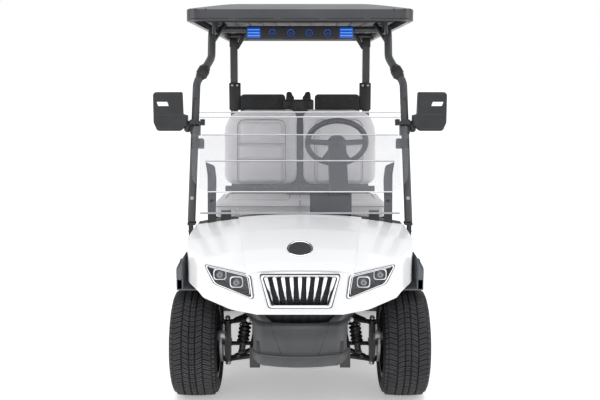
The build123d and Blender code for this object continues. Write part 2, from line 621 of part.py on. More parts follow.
column = shroud_form(0)
column += wheel_plane * (Pos(0, 0, -(COLUMN_TOP + 60.0) / 2 - 10.0) * Cylinder(COLUMN_RADIUS, 60.0))
column -= wheel_plane * (Pos(0, 0, -200.0) * Cylinder(SHAFT_RADIUS + RUN_CLEARANCE, 400.0))
nodes["steering_column"] = column

steering = wheel_plane * Torus(WHEEL_RADIUS, WHEEL_GRIP)
steering += wheel_plane * (Pos(0, 0, -8.0) * Cylinder(44.0, 28.0))
steering += wheel_plane * (Pos(0, 0, -130.0) * Cylinder(SHAFT_RADIUS, 230.0))
for turn in (-5.0, 185.0, 62.0, 118.0):
    spoke = Pos(WHEEL_RADIUS / 2 + 15.0, 0, -6.0) * Box(WHEEL_RADIUS - 35.0, 30.0, 9.0)
    steering += wheel_plane * (Rot(Z=turn) * spoke)
nodes["steering_wheel"] = steering

pedals = []
for left, width, low in ((118.0, 74.0, 440.0), (250.0, 58.0, 425.0)):
    pedal_y = TOE_Y + FLOOR_THICK + 78.0
    arm_x = left + width / 2
    pedal = block(left, left + width, pedal_y, pedal_y + 12.0, low, low + 96.0)
    pedal += block(arm_x - 7.0, arm_x + 7.0, TOE_Y + FLOOR_THICK + SEAT_GAP, pedal_y + 2.0, low + 60.0, low + 80.0)
    pedals.append(pedal)
nodes["pedals"] = pedals

sill = [(FLOOR_HALF - 30.0, 300.0, 12.0), (BODY_HALF + 8.0, 300.0, 20.0), (BODY_HALF + 8.0, 352.0, 12.0)]
sill += [(BODY_HALF, FLOOR_TOP + 6.0), (FLOOR_HALF + SEAT_GAP, FLOOR_TOP + 6.0)]
sill += [(FLOOR_HALF + SEAT_GAP, FLOOR_Z - SEAT_GAP), (FLOOR_HALF - 30.0, FLOOR_Z - SEAT_GAP)]
SILL_END = WHEELBASE - REAR_ARCH_RADIUS - REAR_FLARE_WIDTH - 5.0
nodes["rocker_panels"] = pair(along_y(sill, COWL_REAR + SEAT_GAP, SILL_END))

# ================================================================ seat pedestal and battery
PEDESTAL_BOTTOM = FLOOR_TOP + SEAT_GAP


def pedestal_side(inset):
    """The pedestal's side outline, moved inwards by inset and left open behind."""
    side = [(PEDESTAL_FRONT + 40.0 + inset, PEDESTAL_BOTTOM - inset), (PEDESTAL_FRONT - 10.0 + inset, 640.0)]
    side += [(PEDESTAL_FRONT - 60.0 + inset, PEDESTAL_TOP + inset), (PEDESTAL_REAR + inset, PEDESTAL_TOP + inset)]
    side += [(PEDESTAL_REAR + inset, PEDESTAL_BOTTOM - inset)]
    return side


pedestal = along_x(pedestal_side(0), -PEDESTAL_HALF, PEDESTAL_HALF)
pedestal -= along_x(pedestal_side(WALL), WALL - PEDESTAL_HALF, PEDESTAL_HALF - WALL)
ledge = block(-PEDESTAL_HALF, PEDESTAL_HALF, PEDESTAL_FRONT - 52.0, PEDESTAL_REAR, PEDESTAL_TOP - WALL, PEDESTAL_TOP)
ledge -= block(-500.0, 500.0, PEDESTAL_FRONT - 20.0, BENCH_REAR - 10.0, PEDESTAL_TOP - 20.0, PEDESTAL_TOP + 5.0)
nodes["seat_pedestal"] = pedestal + ledge
nodes["battery_block"] = block(-330.0, 330.0, PEDESTAL_FRONT + 55.0, 1240.0, FLOOR_TOP + SEAT_GAP, 620.0)

# ================================================================ bench and seat backs
bench = [(BENCH_FRONT + 30.0, BENCH_BOTTOM), (BENCH_FRONT, BENCH_BOTTOM + 35.0, 25.0), (BENCH_FRONT + 12.0, BENCH_TOP, 35.0)]
bench += [(BENCH_REAR, BENCH_TOP - 12.0, 20.0), (BENCH_REAR, BENCH_BOTTOM)]
nodes["bench_cushion"] = along_x(bench, -BENCH_HALF, BENCH_HALF)

back_plane = Pos(0, BACK_FRONT_Y, BACK_BOTTOM) * Rot(X=-BACK_RECLINE)
back = [(BACK_GAP / 2, 0.0, 30.0), (BACK_GAP / 2, BACK_HEIGHT, BACK_ROUND), (BACK_HALF, BACK_HEIGHT, BACK_ROUND)]
back += [(BACK_HALF, 0.0, 40.0)]
nodes["seat_backs"] = pair(back_plane * along_y(back, 0.0, BACK_THICK))

shell_front = BACK_THICK + SEAT_GAP
shell_half = POST_X - POST_WIDTH / 2 - 12.0
shell = along_y(both([(shell_half, -40.0), (shell_half, BACK_HEIGHT - 30.0, 40.0)]), shell_front, shell_front + SHELL_THICK)
PANEL_TOP = 630.0
panel = [(100.0, BACK_HEIGHT - 60.0), (100.0, PANEL_TOP, 24.0), (403.0, PANEL_TOP, 24.0), (403.0, BACK_HEIGHT - 60.0)]
for plate in pair(along_y(panel, shell_front, shell_front + SHELL_THICK)):
    shell += plate
for tower_x in (-66.0, 43.0):
    belt = [(tower_x - 26.0, BACK_HEIGHT - 60.0), (tower_x - 26.0, PANEL_TOP - 20.0), (tower_x, PANEL_TOP + 12.0)]
    belt += [(tower_x + 26.0, PANEL_TOP - 20.0), (tower_x + 26.0, BACK_HEIGHT - 60.0)]
    shell += along_y(belt, shell_front, shell_front + SHELL_THICK + 10.0)
shell = back_plane * shell
SHELL_BACK_Y = BACK_FRONT_Y + (shell_front + SHELL_THICK) / math.cos(math.radians(BACK_RECLINE))
for way in (1, -1):
    shell += block(way * 220.0 - 20.0, way * 220.0 + 20.0, SHELL_BACK_Y - 36.0, SHELL_BACK_Y - 12.0,
                   REAR_DECK_Z + SEAT_GAP, BACK_BOTTOM - 30.0)
    shell += block(way * 430.0 - 35.0, way * 430.0 + 35.0, POST_Y - 70.0, POST_Y - POST_DEPTH / 2 - SEAT_GAP,
                   1225.0, 1265.0)
nodes["seat_shell"] = shell

# ================================================================ rear body, rear seat and lamps
def rear_body_form(inset):
    """The rear body's solid, moved inwards by inset."""
    half = BODY_HALF - inset
    end = REAR_BODY_END - inset
    plan = [(half, PEDESTAL_REAR + SEAT_GAP - inset), (half, end, 30.0)]
    form = along_z(both(plan), REAR_BODY_BOTTOM - inset, REAR_DECK_Z - inset)
    edge = [(half, 300.0), (half, REAR_DECK_Z - inset, 30.0)]
    return form & along_y(both(edge), PEDESTAL_REAR - 130.0, end + 150.0)


rear_body = rear_body_form(0) - rear_body_form(WALL)
rear_body -= disc_x(REAR_ARCH_RADIUS, -700.0, 700.0, y=WHEELBASE)
rear_body -= block(-RAIL_OUT - 10.0, RAIL_OUT + 10.0, REAR_BODY_END - 20.0, REAR_BODY_END + 5.0,
                   REAR_BODY_BOTTOM - 5.0, REAR_RAIL_TOP + 10.0)
nodes["rear_body"] = rear_body

flare = disc_x(REAR_ARCH_RADIUS + REAR_FLARE_WIDTH, BODY_HALF + SEAT_GAP, REAR_FLARE_X, y=WHEELBASE)
flare -= disc_x(REAR_ARCH_RADIUS, BODY_HALF, REAR_FLARE_X + 1, y=WHEELBASE)
flare &= block(BODY_HALF - 90.0, REAR_FLARE_X + 50.0, 1200.0, WHEELBASE + 450.0, REAR_BODY_BOTTOM - 60.0, 800.0)
nodes["rear_flares"] = pair(flare)

REAR_PAD_FRONT = 1542.0
REAR_PAD_THICK = 72.0
pad = [(6.0, REAR_DECK_Z + 130.0, 20.0), (6.0, 1400.0, 60.0), (REAR_BACK_HALF, 1400.0, 60.0)]
pad += [(REAR_BACK_HALF, REAR_DECK_Z + 130.0, 20.0)]
rear_back = pair(along_y(pad, REAR_PAD_FRONT, REAR_PAD_FRONT + REAR_PAD_THICK))
nodes["rear_seat_back"] = rear_back

REAR_HINGE_Z = REAR_DECK_Z + 4.0
REAR_HINGE_Y = REAR_BODY_END + 8.0
seat = [(REAR_SEAT_FRONT + 22.0, REAR_DECK_Z + SEAT_GAP), (REAR_SEAT_FRONT + 22.0, REAR_SEAT_TOP, 30.0)]
seat += [(REAR_SEAT_END, REAR_SEAT_TOP, 35.0), (REAR_SEAT_END, REAR_DECK_Z + SEAT_GAP)]
nodes["rear_seat_cushion"] = along_x(seat, -REAR_SEAT_HALF, REAR_SEAT_HALF)

tail_in = BODY_HALF - 82.0
tail_out = BODY_HALF - 30.0
tail = [(tail_in, 640.0, 10.0), (tail_out, 640.0, 10.0), (tail_out, 750.0, 10.0), (tail_in, 750.0, 10.0)]
nodes["tail_lamps"] = pair(along_y(tail, REAR_BODY_END + SEAT_GAP, REAR_BODY_END + 16.0))

# footrest with the towing tongue
STEP_TOP = REAR_RAIL_BOTTOM - SEAT_GAP
STEP_THICK = 20.0
STEP_FRONT = RAIL_REAR_END + 8.0
STEP_END = REAR_END - 70.0
STEP_BRACKET = 36.0
step = block(-420.0, 420.0, STEP_FRONT, STEP_END, STEP_TOP - STEP_THICK, STEP_TOP)
step += block(-420.0, 420.0, STEP_END - 16.0, STEP_END, STEP_TOP - STEP_THICK, STEP_TOP + 20.0)
for way in (1, -1):
    bracket_ends = sorted((way * RAIL_IN, way * RAIL_OUT))
    step += block(*bracket_ends, RAIL_REAR_END - 92.0, RAIL_REAR_END - 4.0, STEP_TOP - STEP_BRACKET, STEP_TOP)
    step += block(*bracket_ends, RAIL_REAR_END - 20.0, STEP_FRONT + 70.0, STEP_TOP - STEP_BRACKET, STEP_TOP - 12.0)
TONGUE_TOP = STEP_TOP - STEP_THICK
tongue = [(45.0, STEP_END - 130.0), (45.0, REAR_END - 20.0, 10.0), (25.0, REAR_END)]
step += along_z(both(tongue), TONGUE_TOP - HITCH_THICK, TONGUE_TOP)
HITCH_Y = REAR_END - 34.0
step -= rod((0, HITCH_Y, TONGUE_TOP - 40.0), (0, HITCH_Y, TONGUE_TOP + 60.0), HITCH_HOLE_RADIUS)
nodes["rear_footrest"] = step

# ================================================================ rear axle and springs
AXLE_TUBE_RADIUS = 35.0
AXLE_TUBE_HALF = DISC_FACE_X - 8.0
MOTOR_Y = WHEELBASE - 175.0
axle = disc_x(AXLE_TUBE_RADIUS, -AXLE_TUBE_HALF, AXLE_TUBE_HALF, y=WHEELBASE)
axle += disc_x(STUB_RADIUS, -DISC_FACE_X - STUB_LENGTH, DISC_FACE_X + STUB_LENGTH, y=WHEELBASE)
axle += disc_x(92.0, -50.0, 110.0, y=WHEELBASE)
gear_case = [(MOTOR_Y - 70.0, 230.0, 40.0), (MOTOR_Y - 70.0, 370.0, 40.0), (WHEELBASE + 60.0, 350.0, 40.0)]
gear_case += [(WHEELBASE + 60.0, 205.0, 40.0)]
axle += along_x(gear_case, 60.0, 110.0)
axle += disc_x(85.0, -190.0, 70.0, y=MOTOR_Y, z=AXLE_Z + 20.0)
nodes["rear_axle"] = axle

SPRING_IN = 300.0
SPRING_OUT = 345.0
SPRING_TOP = AXLE_Z - AXLE_TUBE_RADIUS - SEAT_GAP
LEAF_HALF = 350.0
upper_edge = [(-LEAF_HALF, 100.0), (-200.0, 36.0), (-50.0, 0.0), (50.0, 0.0), (200.0, 36.0), (LEAF_HALF, 100.0)]
leaf = [(WHEELBASE + along, SPRING_TOP + up) for along, up in upper_edge]
leaf += [(WHEELBASE + along, SPRING_TOP + up - 20.0) for along, up in reversed(upper_edge)]
spring = along_x(leaf, SPRING_IN, SPRING_OUT)
EYE_Z = SPRING_TOP + 88.0
pin_in = RAIL_OUT + SEAT_GAP
spring += rod((SPRING_OUT, WHEELBASE - LEAF_HALF, EYE_Z), (pin_in, WHEELBASE - LEAF_HALF, EYE_Z), 13.0)
shackle_y = WHEELBASE + LEAF_HALF
spring += block(SPRING_IN, SPRING_IN + 14.0, shackle_y - 16.0, shackle_y + 16.0, EYE_Z - 10.0, REAR_RAIL_BOTTOM + 60.0)
spring += rod((SPRING_IN + 14.0, shackle_y, REAR_RAIL_BOTTOM + 46.0), (pin_in, shackle_y, REAR_RAIL_BOTTOM + 46.0), 13.0)
REAR_DAMPER_X = 275.0
rear_damper = rod((REAR_DAMPER_X, WHEELBASE + 10.0, AXLE_Z + AXLE_TUBE_RADIUS + 6.0),
                  (REAR_DAMPER_X, WHEELBASE + 60.0, REAR_RAIL_BOTTOM + 50.0), 15.0)
rear_damper += rod((REAR_DAMPER_X, WHEELBASE + 60.0, REAR_RAIL_BOTTOM + 46.0),
                   (pin_in, WHEELBASE + 60.0, REAR_RAIL_BOTTOM + 46.0), 10.0)
rear_damper += block(REAR_DAMPER_X - 14.0, REAR_DAMPER_X + 14.0, WHEELBASE - 12.0, WHEELBASE + 26.0,
                     AXLE_Z + AXLE_TUBE_RADIUS + SEAT_GAP, AXLE_Z + AXLE_TUBE_RADIUS + 14.0)
nodes["rear_suspension"] = pair(spring) + pair(rear_damper)

# ================================================================ canopy tubes
STRUT_TOP = (501.0, 622.0, RAIL_Z)
RAIL_END = (501.0, 1900.0, RAIL_Z)
STRUT_FOOT = (STRUT_X_FOOT, STRUT_FOOT_Y, STRUT_FOOT_Z)
STRUT_BEND = (STRUT_X, STRUT_BEND_Y, STRUT_BEND_Z)
STRUT_NECK = (STRUT_NECK_X, STRUT_NECK_Y, STRUT_NECK_Z)


def strut_tube(radius):
    """One front strut, bent inwards under the roof and back along it."""
    path = FilletPolyline(STRUT_FOOT, STRUT_BEND, STRUT_NECK, STRUT_TOP, RAIL_END, radius=(90.0, 70.0, 70.0))
    start = Plane(origin=STRUT_FOOT, z_dir=Vector(*STRUT_BEND) - Vector(*STRUT_FOOT))
    return sweep(start * Circle(radius), path=path)


strut = strut_tube(TUBE_RADIUS)
nodes["front_struts"] = pair(strut)

# foot plate and the trim that runs down the body's side
foot_x = STRUT_X_FOOT - TUBE_RADIUS - 2.0
foot = block(foot_x, foot_x + 42.0, STRUT_FOOT_Y - 42.0, STRUT_FOOT_Y + 30.0, STRUT_FOOT_Z - 10.0, STRUT_FOOT_Z + 2.0)
foot += block(BODY_HALF + SEAT_GAP, BODY_HALF + 20.0, STRUT_FOOT_Y - 40.0, STRUT_FOOT_Y + 20.0, 742.0, STRUT_FOOT_Z - 5.0)
foot -= cowl_form(-SEAT_GAP)
foot -= strut
nodes["strut_feet"] = pair(foot)

CROSSBAR_RADIUS = 18.0
CROSSBAR_HALF = STRUT_TOP[0] - TUBE_RADIUS - SEAT_GAP
FRONT_BAR_Y = 720.0
bars = [disc_x(CROSSBAR_RADIUS, -CROSSBAR_HALF, CROSSBAR_HALF, y=bar_y, z=RAIL_Z)
        for bar_y in (FRONT_BAR_Y, POST_Y, 1860.0)]
nodes["roof_crossbars"] = bars

post = block(POST_X - POST_WIDTH / 2, POST_X + POST_WIDTH / 2, POST_Y - POST_DEPTH / 2, POST_Y + POST_DEPTH / 2,
             REAR_DECK_Z + SEAT_GAP, RAIL_Z - CROSSBAR_RADIUS - SEAT_GAP)
nodes["rear_posts"] = pair(post)


# ================================================================ roof
def roof_form(edge, down):
    """The roof's solid, moved inwards by edge at its sides and down by down at its top."""
    half = ROOF_HALF - edge
    front = ROOF_FRONT + edge
    rear = ROOF_REAR - edge
    plan = [(half, front, 90.0), (half, rear, 160.0)]
    form = along_z(both(plan), ROOF_LIP_BOTTOM - edge, 2100.0)
    crest = [(ROOF_FRONT - 40.0, 1800.0), (ROOF_FRONT - 40.0, ROOF_EDGE_Z - down - 6.0)]
    crest += [(ROOF_FRONT + 330.0, 2058.0 - down, 900.0), (ROOF_CREST_Y, ROOF_CREST_Z - down, 2500.0)]
    crest += [(1600.0, 2066.0 - down, 1500.0), (ROOF_REAR + 40.0, ROOF_EDGE_Z - down - 6.0), (ROOF_REAR + 40.0, 1800.0)]
    form &= along_x(crest, -700.0, 700.0)
    across = [(640.0, 1800.0), (640.0, ROOF_EDGE_Z - down - 8.0), (420.0, 2050.0 - down, 800.0), (150.0, 2082.0 - down, 900.0)]
    return form & along_y(both(across), 100.0, 2200.0)


roof = roof_form(0, 0) - roof_form(ROOF_LIP, ROOF_WALL)
bosses = [(501.0, boss_y) for boss_y in (800.0, 1250.0, 1750.0)]
for boss_x, boss_y in bosses + [(-x, y) for x, y in bosses]:
    pillar = rod((boss_x, boss_y, RAIL_Z + TUBE_RADIUS + SEAT_GAP), (boss_x, boss_y, ROOF_CREST_Z), 15.0)
    roof += pillar & roof_form(0, 0)
nodes["roof"] = roof

# ================================================================ sound bar
SOUND_HALF = 300.0
SOUND_Y0 = 640.0
SOUND_Y1 = 735.0
SOUND_BOTTOM = 1846.0
sound = [(SOUND_Y0, SOUND_BOTTOM + 12.0, 12.0), (SOUND_Y0, SOUND_BOTTOM + 56.0, 12.0)]
sound += [(SOUND_Y1, SOUND_BOTTOM + 60.0, 12.0), (SOUND_Y1, SOUND_BOTTOM, 20.0)]
bar = along_x(sound, -SOUND_HALF, SOUND_HALF)
for hanger_x in (-200.0, 200.0):
    hanger = block(hanger_x - 15.0, hanger_x + 15.0, FRONT_BAR_Y - 24.0, FRONT_BAR_Y + 24.0, SOUND_BOTTOM + 40.0, RAIL_Z)
    hanger -= disc_x(CROSSBAR_RADIUS + SEAT_GAP, -CROSSBAR_HALF, CROSSBAR_HALF, y=FRONT_BAR_Y, z=RAIL_Z)
    bar += hanger
nodes["sound_bar"] = bar

# ================================================================ windshield
rake = math.atan2(STRUT_BEND_Y - STRUT_FOOT_Y, STRUT_BEND_Z - STRUT_FOOT_Z)
pivot_y = STRUT_FOOT_Y + (PIVOT_Z - STRUT_FOOT_Z) * math.tan(rake) - PANE_AHEAD / math.cos(rake)
pane_plane = Plane(origin=(0, pivot_y, PIVOT_Z), x_dir=(1, 0, 0), z_dir=(0, -math.cos(rake), math.sin(rake)))
HINGE_BLOCK = 22.0
HINGE_HALF = 16.0
WIDE_START = 24.0


def on_pane(corners, z0, z1):
    """An outline in the pane's own plane, X across and Y up the rake, between two depths."""
    return pane_plane * extrude(Pos(0, 0, z0) * outline(corners), amount=z1 - z0, dir=(0, 0, 1))


half_pane = PANE / 2
upper = [(UPPER_PANE_HALF, -UPPER_PANE_DROP, 32.0), (UPPER_PANE_HALF, -WIDE_START, 10.0)]
upper += [(INNER_PANE_HALF, -WIDE_START), (INNER_PANE_HALF, UPPER_PANE_LIP, 14.0)]
pane = on_pane(both(upper), -half_pane, half_pane)
hinge_in = INNER_PANE_HALF - HINGE_BLOCK
notch = [(hinge_in, -HINGE_HALF), (hinge_in, HINGE_HALF), (700.0, HINGE_HALF), (700.0, -HINGE_HALF)]
hinges = []
for notch_cut in pair(on_pane(notch, -20.0, 20.0)):
    pane -= notch_cut
hinge_out = INNER_PANE_HALF + 4.0
block_outline = [(hinge_in, -HINGE_HALF), (hinge_in, HINGE_HALF), (hinge_out, HINGE_HALF), (hinge_out, -HINGE_HALF)]
hinge_block = on_pane(block_outline, -9.0, 9.0)
pivot_hole = pane_plane * (Pos(hinge_out, 0, 0) * Rot(Y=90) * Cylinder(PIVOT_RADIUS + RUN_CLEARANCE, 32.0))
hinge_block -= pivot_hole
nodes["windshield_upper"] = pane
nodes["windshield_hinges"] = pair(hinge_block)

LOWER_TOP = -UPPER_PANE_LIP - 5.0
LOWER_BOTTOM = (PANE_BOTTOM_Z + 12.0 - PIVOT_Z + PANE_STEP * math.sin(rake)) / math.cos(rake)
lower = [(LOWER_PANE_HALF, LOWER_BOTTOM, 12.0), (LOWER_PANE_HALF, LOWER_TOP, 12.0)]
lower_pane = on_pane(both(lower), -PANE_STEP - half_pane, -PANE_STEP + half_pane)
rib_low = (BRACKET_TOP_Z - PIVOT_Z) / math.cos(rake) + 3.0
rib = [(RIB_HALF, rib_low), (RIB_HALF, rib_low + 7.0)]
lower_pane += on_pane(both(rib), -PANE_STEP - half_pane - 9.0, -PANE_STEP)
nodes["windshield_lower"] = lower_pane

# clamps on the struts: pivot ears, pane clips, and the brackets and rubber blocks behind the lower pane
clamp_in = hinge_out + 4.0
clamp_out = STRUT_X_FOOT + 16.0
ear = [(clamp_in, -14.0), (clamp_in, 14.0, 6.0), (clamp_out, 14.0, 6.0), (clamp_out, -14.0)]
collar = [(clamp_in, -60.0, 6.0), (clamp_in, 14.0, 6.0), (clamp_out, 14.0, 6.0), (clamp_out, -60.0, 6.0)]
clamp = on_pane(ear, -PANE_AHEAD, 11.0) + on_pane(collar, -PANE_AHEAD - TUBE_RADIUS - 6.0, -18.0)
clamp += pane_plane * (Pos(clamp_in - 3.0, 0, 0) * Rot(Y=90) * Cylinder(PIVOT_RADIUS, 18.0))
clip = [(LOWER_PANE_HALF - 20.0, -140.0, 6.0), (LOWER_PANE_HALF - 20.0, -88.0, 6.0)]
clip += [(clamp_out - 6.0, -88.0, 6.0), (clamp_out - 6.0, -140.0, 6.0)]
behind_lower = -PANE_STEP - half_pane - SEAT_GAP
clip_solid = on_pane(clip, -PANE_AHEAD - 8.0, behind_lower)
tube_space = strut_tube(TUBE_RADIUS + SEAT_GAP)
clamp -= tube_space
clip_solid -= tube_space
BRACKET_OUT = RIB_HALF
BRACKET_IN = BRACKET_OUT - 61.0
BRACKET_FOOT = (860.0 - PIVOT_Z) / math.cos(rake)
BRACKET_TOP = (BRACKET_TOP_Z - PIVOT_Z) / math.cos(rake)
hood_space = (cowl_form(-SEAT_GAP) + hood_panel(-SEAT_GAP)) & block(-700.0, 700.0, 0.0, HOOD_REAR_Y, 500.0, 1000.0)
bracket = [(BRACKET_IN, BRACKET_FOOT), (BRACKET_IN, BRACKET_TOP - 90.0, 20.0), (BRACKET_IN + 10.0, BRACKET_TOP - 20.0, 20.0)]
bracket += [(BRACKET_OUT, BRACKET_TOP), (BRACKET_OUT - 12.0, BRACKET_TOP - 70.0, 60.0), (BRACKET_OUT - 18.0, BRACKET_FOOT)]
bracket_solid = on_pane(bracket, behind_lower - 16.0, behind_lower) - dash
bracket_solid -= hood_space
RUBBER_X = 407.0
rubber = block(RUBBER_X - 27.0, RUBBER_X + 27.0, HOOD_REAR_Y - 20.0, HOOD_REAR_Y + 32.0, 860.0, PANE_BOTTOM_Z + 25.0)
rubber -= dash
rubber -= hood_space
rubber -= on_pane([(-700.0, LOWER_BOTTOM - 60.0), (700.0, LOWER_BOTTOM - 60.0), (700.0, 0.0), (-700.0, 0.0)],
                  -PANE_STEP - half_pane - SEAT_GAP, 60.0)
nodes["windshield_brackets"] = pair(clamp) + pair(clip_solid) + pair(bracket_solid) + pair(rubber)

# ================================================================ mirrors
MIRROR_FRONT = 436.0
MIRROR_REAR = 506.0
MIRROR_GLASS = 3.0
MIRROR_IN = clamp_out + 15.0
housing = [(29.0, 1570.0, 12.0), (26.0, 1446.0, 6.0), (0.0, 1440.0, 6.0), (0.0, 1386.0, 12.0)]
housing += [(39.0, 1354.0, 10.0), (168.0, 1354.0, 20.0), (188.0, 1400.0, 20.0), (188.0, 1556.0, 10.0), (176.0, 1570.0, 8.0)]
housing = [(MIRROR_IN + corner[0],) + corner[1:] for corner in housing]
mirror_body = along_y(housing, MIRROR_FRONT, MIRROR_REAR)
arm_in = clamp_out + SEAT_GAP
mirror_body += block(arm_in, MIRROR_IN + 11.0, 452.0, 484.0, 1364.0, 1398.0)
nodes["mirror_housings"] = pair(mirror_body)
glass = [(43.0, 1552.0, 12.0), (43.0, 1372.0, 12.0), (163.0, 1372.0, 16.0), (175.0, 1410.0, 16.0), (175.0, 1552.0, 10.0)]
glass = [(MIRROR_IN + corner[0],) + corner[1:] for corner in glass]
nodes["mirror_glass"] = pair(along_y(glass, MIRROR_REAR + SEAT_GAP, MIRROR_REAR + SEAT_GAP + MIRROR_GLASS))

# ================================================================ export
os.makedirs("parts", exist_ok=True)
for name, solid in nodes.items():
    if isinstance(solid, list):
        solid = Compound(children=[Pos(0, -MIDDLE_Y, 0) * piece for piece in solid])
    else:
        solid = Pos(0, -MIDDLE_Y, 0) * solid
    export_step(solid, f"parts/{name}.step")
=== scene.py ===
"""Dresses the solids of a golf cart with its visible pieces, finishes, light and camera."""
import json
import logging
import math
from dataclasses import dataclass
from enum import Enum

import bmesh
import bpy
from mathutils import Matrix, Vector

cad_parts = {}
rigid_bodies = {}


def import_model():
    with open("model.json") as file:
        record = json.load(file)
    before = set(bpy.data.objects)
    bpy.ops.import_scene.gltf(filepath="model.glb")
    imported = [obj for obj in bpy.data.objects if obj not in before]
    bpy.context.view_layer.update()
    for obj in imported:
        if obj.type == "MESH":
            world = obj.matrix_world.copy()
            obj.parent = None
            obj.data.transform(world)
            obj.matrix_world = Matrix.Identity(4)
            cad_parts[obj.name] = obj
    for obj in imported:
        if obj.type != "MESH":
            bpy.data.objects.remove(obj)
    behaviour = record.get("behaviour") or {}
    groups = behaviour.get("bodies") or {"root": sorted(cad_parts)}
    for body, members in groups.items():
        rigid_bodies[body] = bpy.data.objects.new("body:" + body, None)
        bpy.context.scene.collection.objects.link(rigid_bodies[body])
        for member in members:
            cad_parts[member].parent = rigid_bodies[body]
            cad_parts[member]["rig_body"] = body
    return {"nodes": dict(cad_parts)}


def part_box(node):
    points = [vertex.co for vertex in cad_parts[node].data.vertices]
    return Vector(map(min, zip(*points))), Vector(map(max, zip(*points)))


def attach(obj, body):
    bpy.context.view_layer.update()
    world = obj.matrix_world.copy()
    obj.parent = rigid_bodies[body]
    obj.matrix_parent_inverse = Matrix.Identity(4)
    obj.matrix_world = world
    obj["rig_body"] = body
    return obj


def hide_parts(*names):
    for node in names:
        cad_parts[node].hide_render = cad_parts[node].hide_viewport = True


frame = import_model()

log = logging.getLogger("golf_cart")

Point = tuple[float, float, float]
Colour = tuple[float, float, float]

FRONT_AXLE_Y = -0.92
WHEELBASE = 1.65
REAR_AXLE_Y = FRONT_AXLE_Y + WHEELBASE
HUB_Z = 0.2795
TRACK_HALF = 0.536


def behind(distance: float) -> float:
    """Returns the frame's Y of a place this far behind the front axle."""
    return FRONT_AXLE_Y + distance


# ---------------------------------------------------------------- finishes
class Tree:
    """A node tree with short calls that add and join nodes."""

    def __init__(self, tree: bpy.types.NodeTree) -> None:
        """Keeps the tree that is built.

        Args:
            tree: a material's or a group's node tree.
        """
        self.tree = tree

    def add(self, kind: str, **settings: object) -> bpy.types.Node:
        """Adds a node.

        Args:
            kind: the node's Blender type.
            settings: attributes set on the node.

        Returns:
            The new node.
        """
        node = self.tree.nodes.new(kind)
        for name, value in settings.items():
            setattr(node, name, value)
        return node

    def join(self, source: bpy.types.NodeSocket, target: bpy.types.NodeSocket) -> None:
        """Links one socket to another."""
        self.tree.links.new(source, target)

    def math(self, operation: str, first: object, second: object = None) -> bpy.types.NodeSocket:
        """Adds a math node.

        Args:
            operation: the math node's operation.
            first: a number or a socket.
            second: a number or a socket, or None for a one-input operation.

        Returns:
            The node's output socket.
        """
        node = self.add("ShaderNodeMath", operation=operation)
        for place, value in enumerate((first, second)):
            if value is None:
                continue
            if isinstance(value, bpy.types.NodeSocket):
                self.join(value, node.inputs[place])
            else:
                node.inputs[place].default_value = value
        return node.outputs[0]


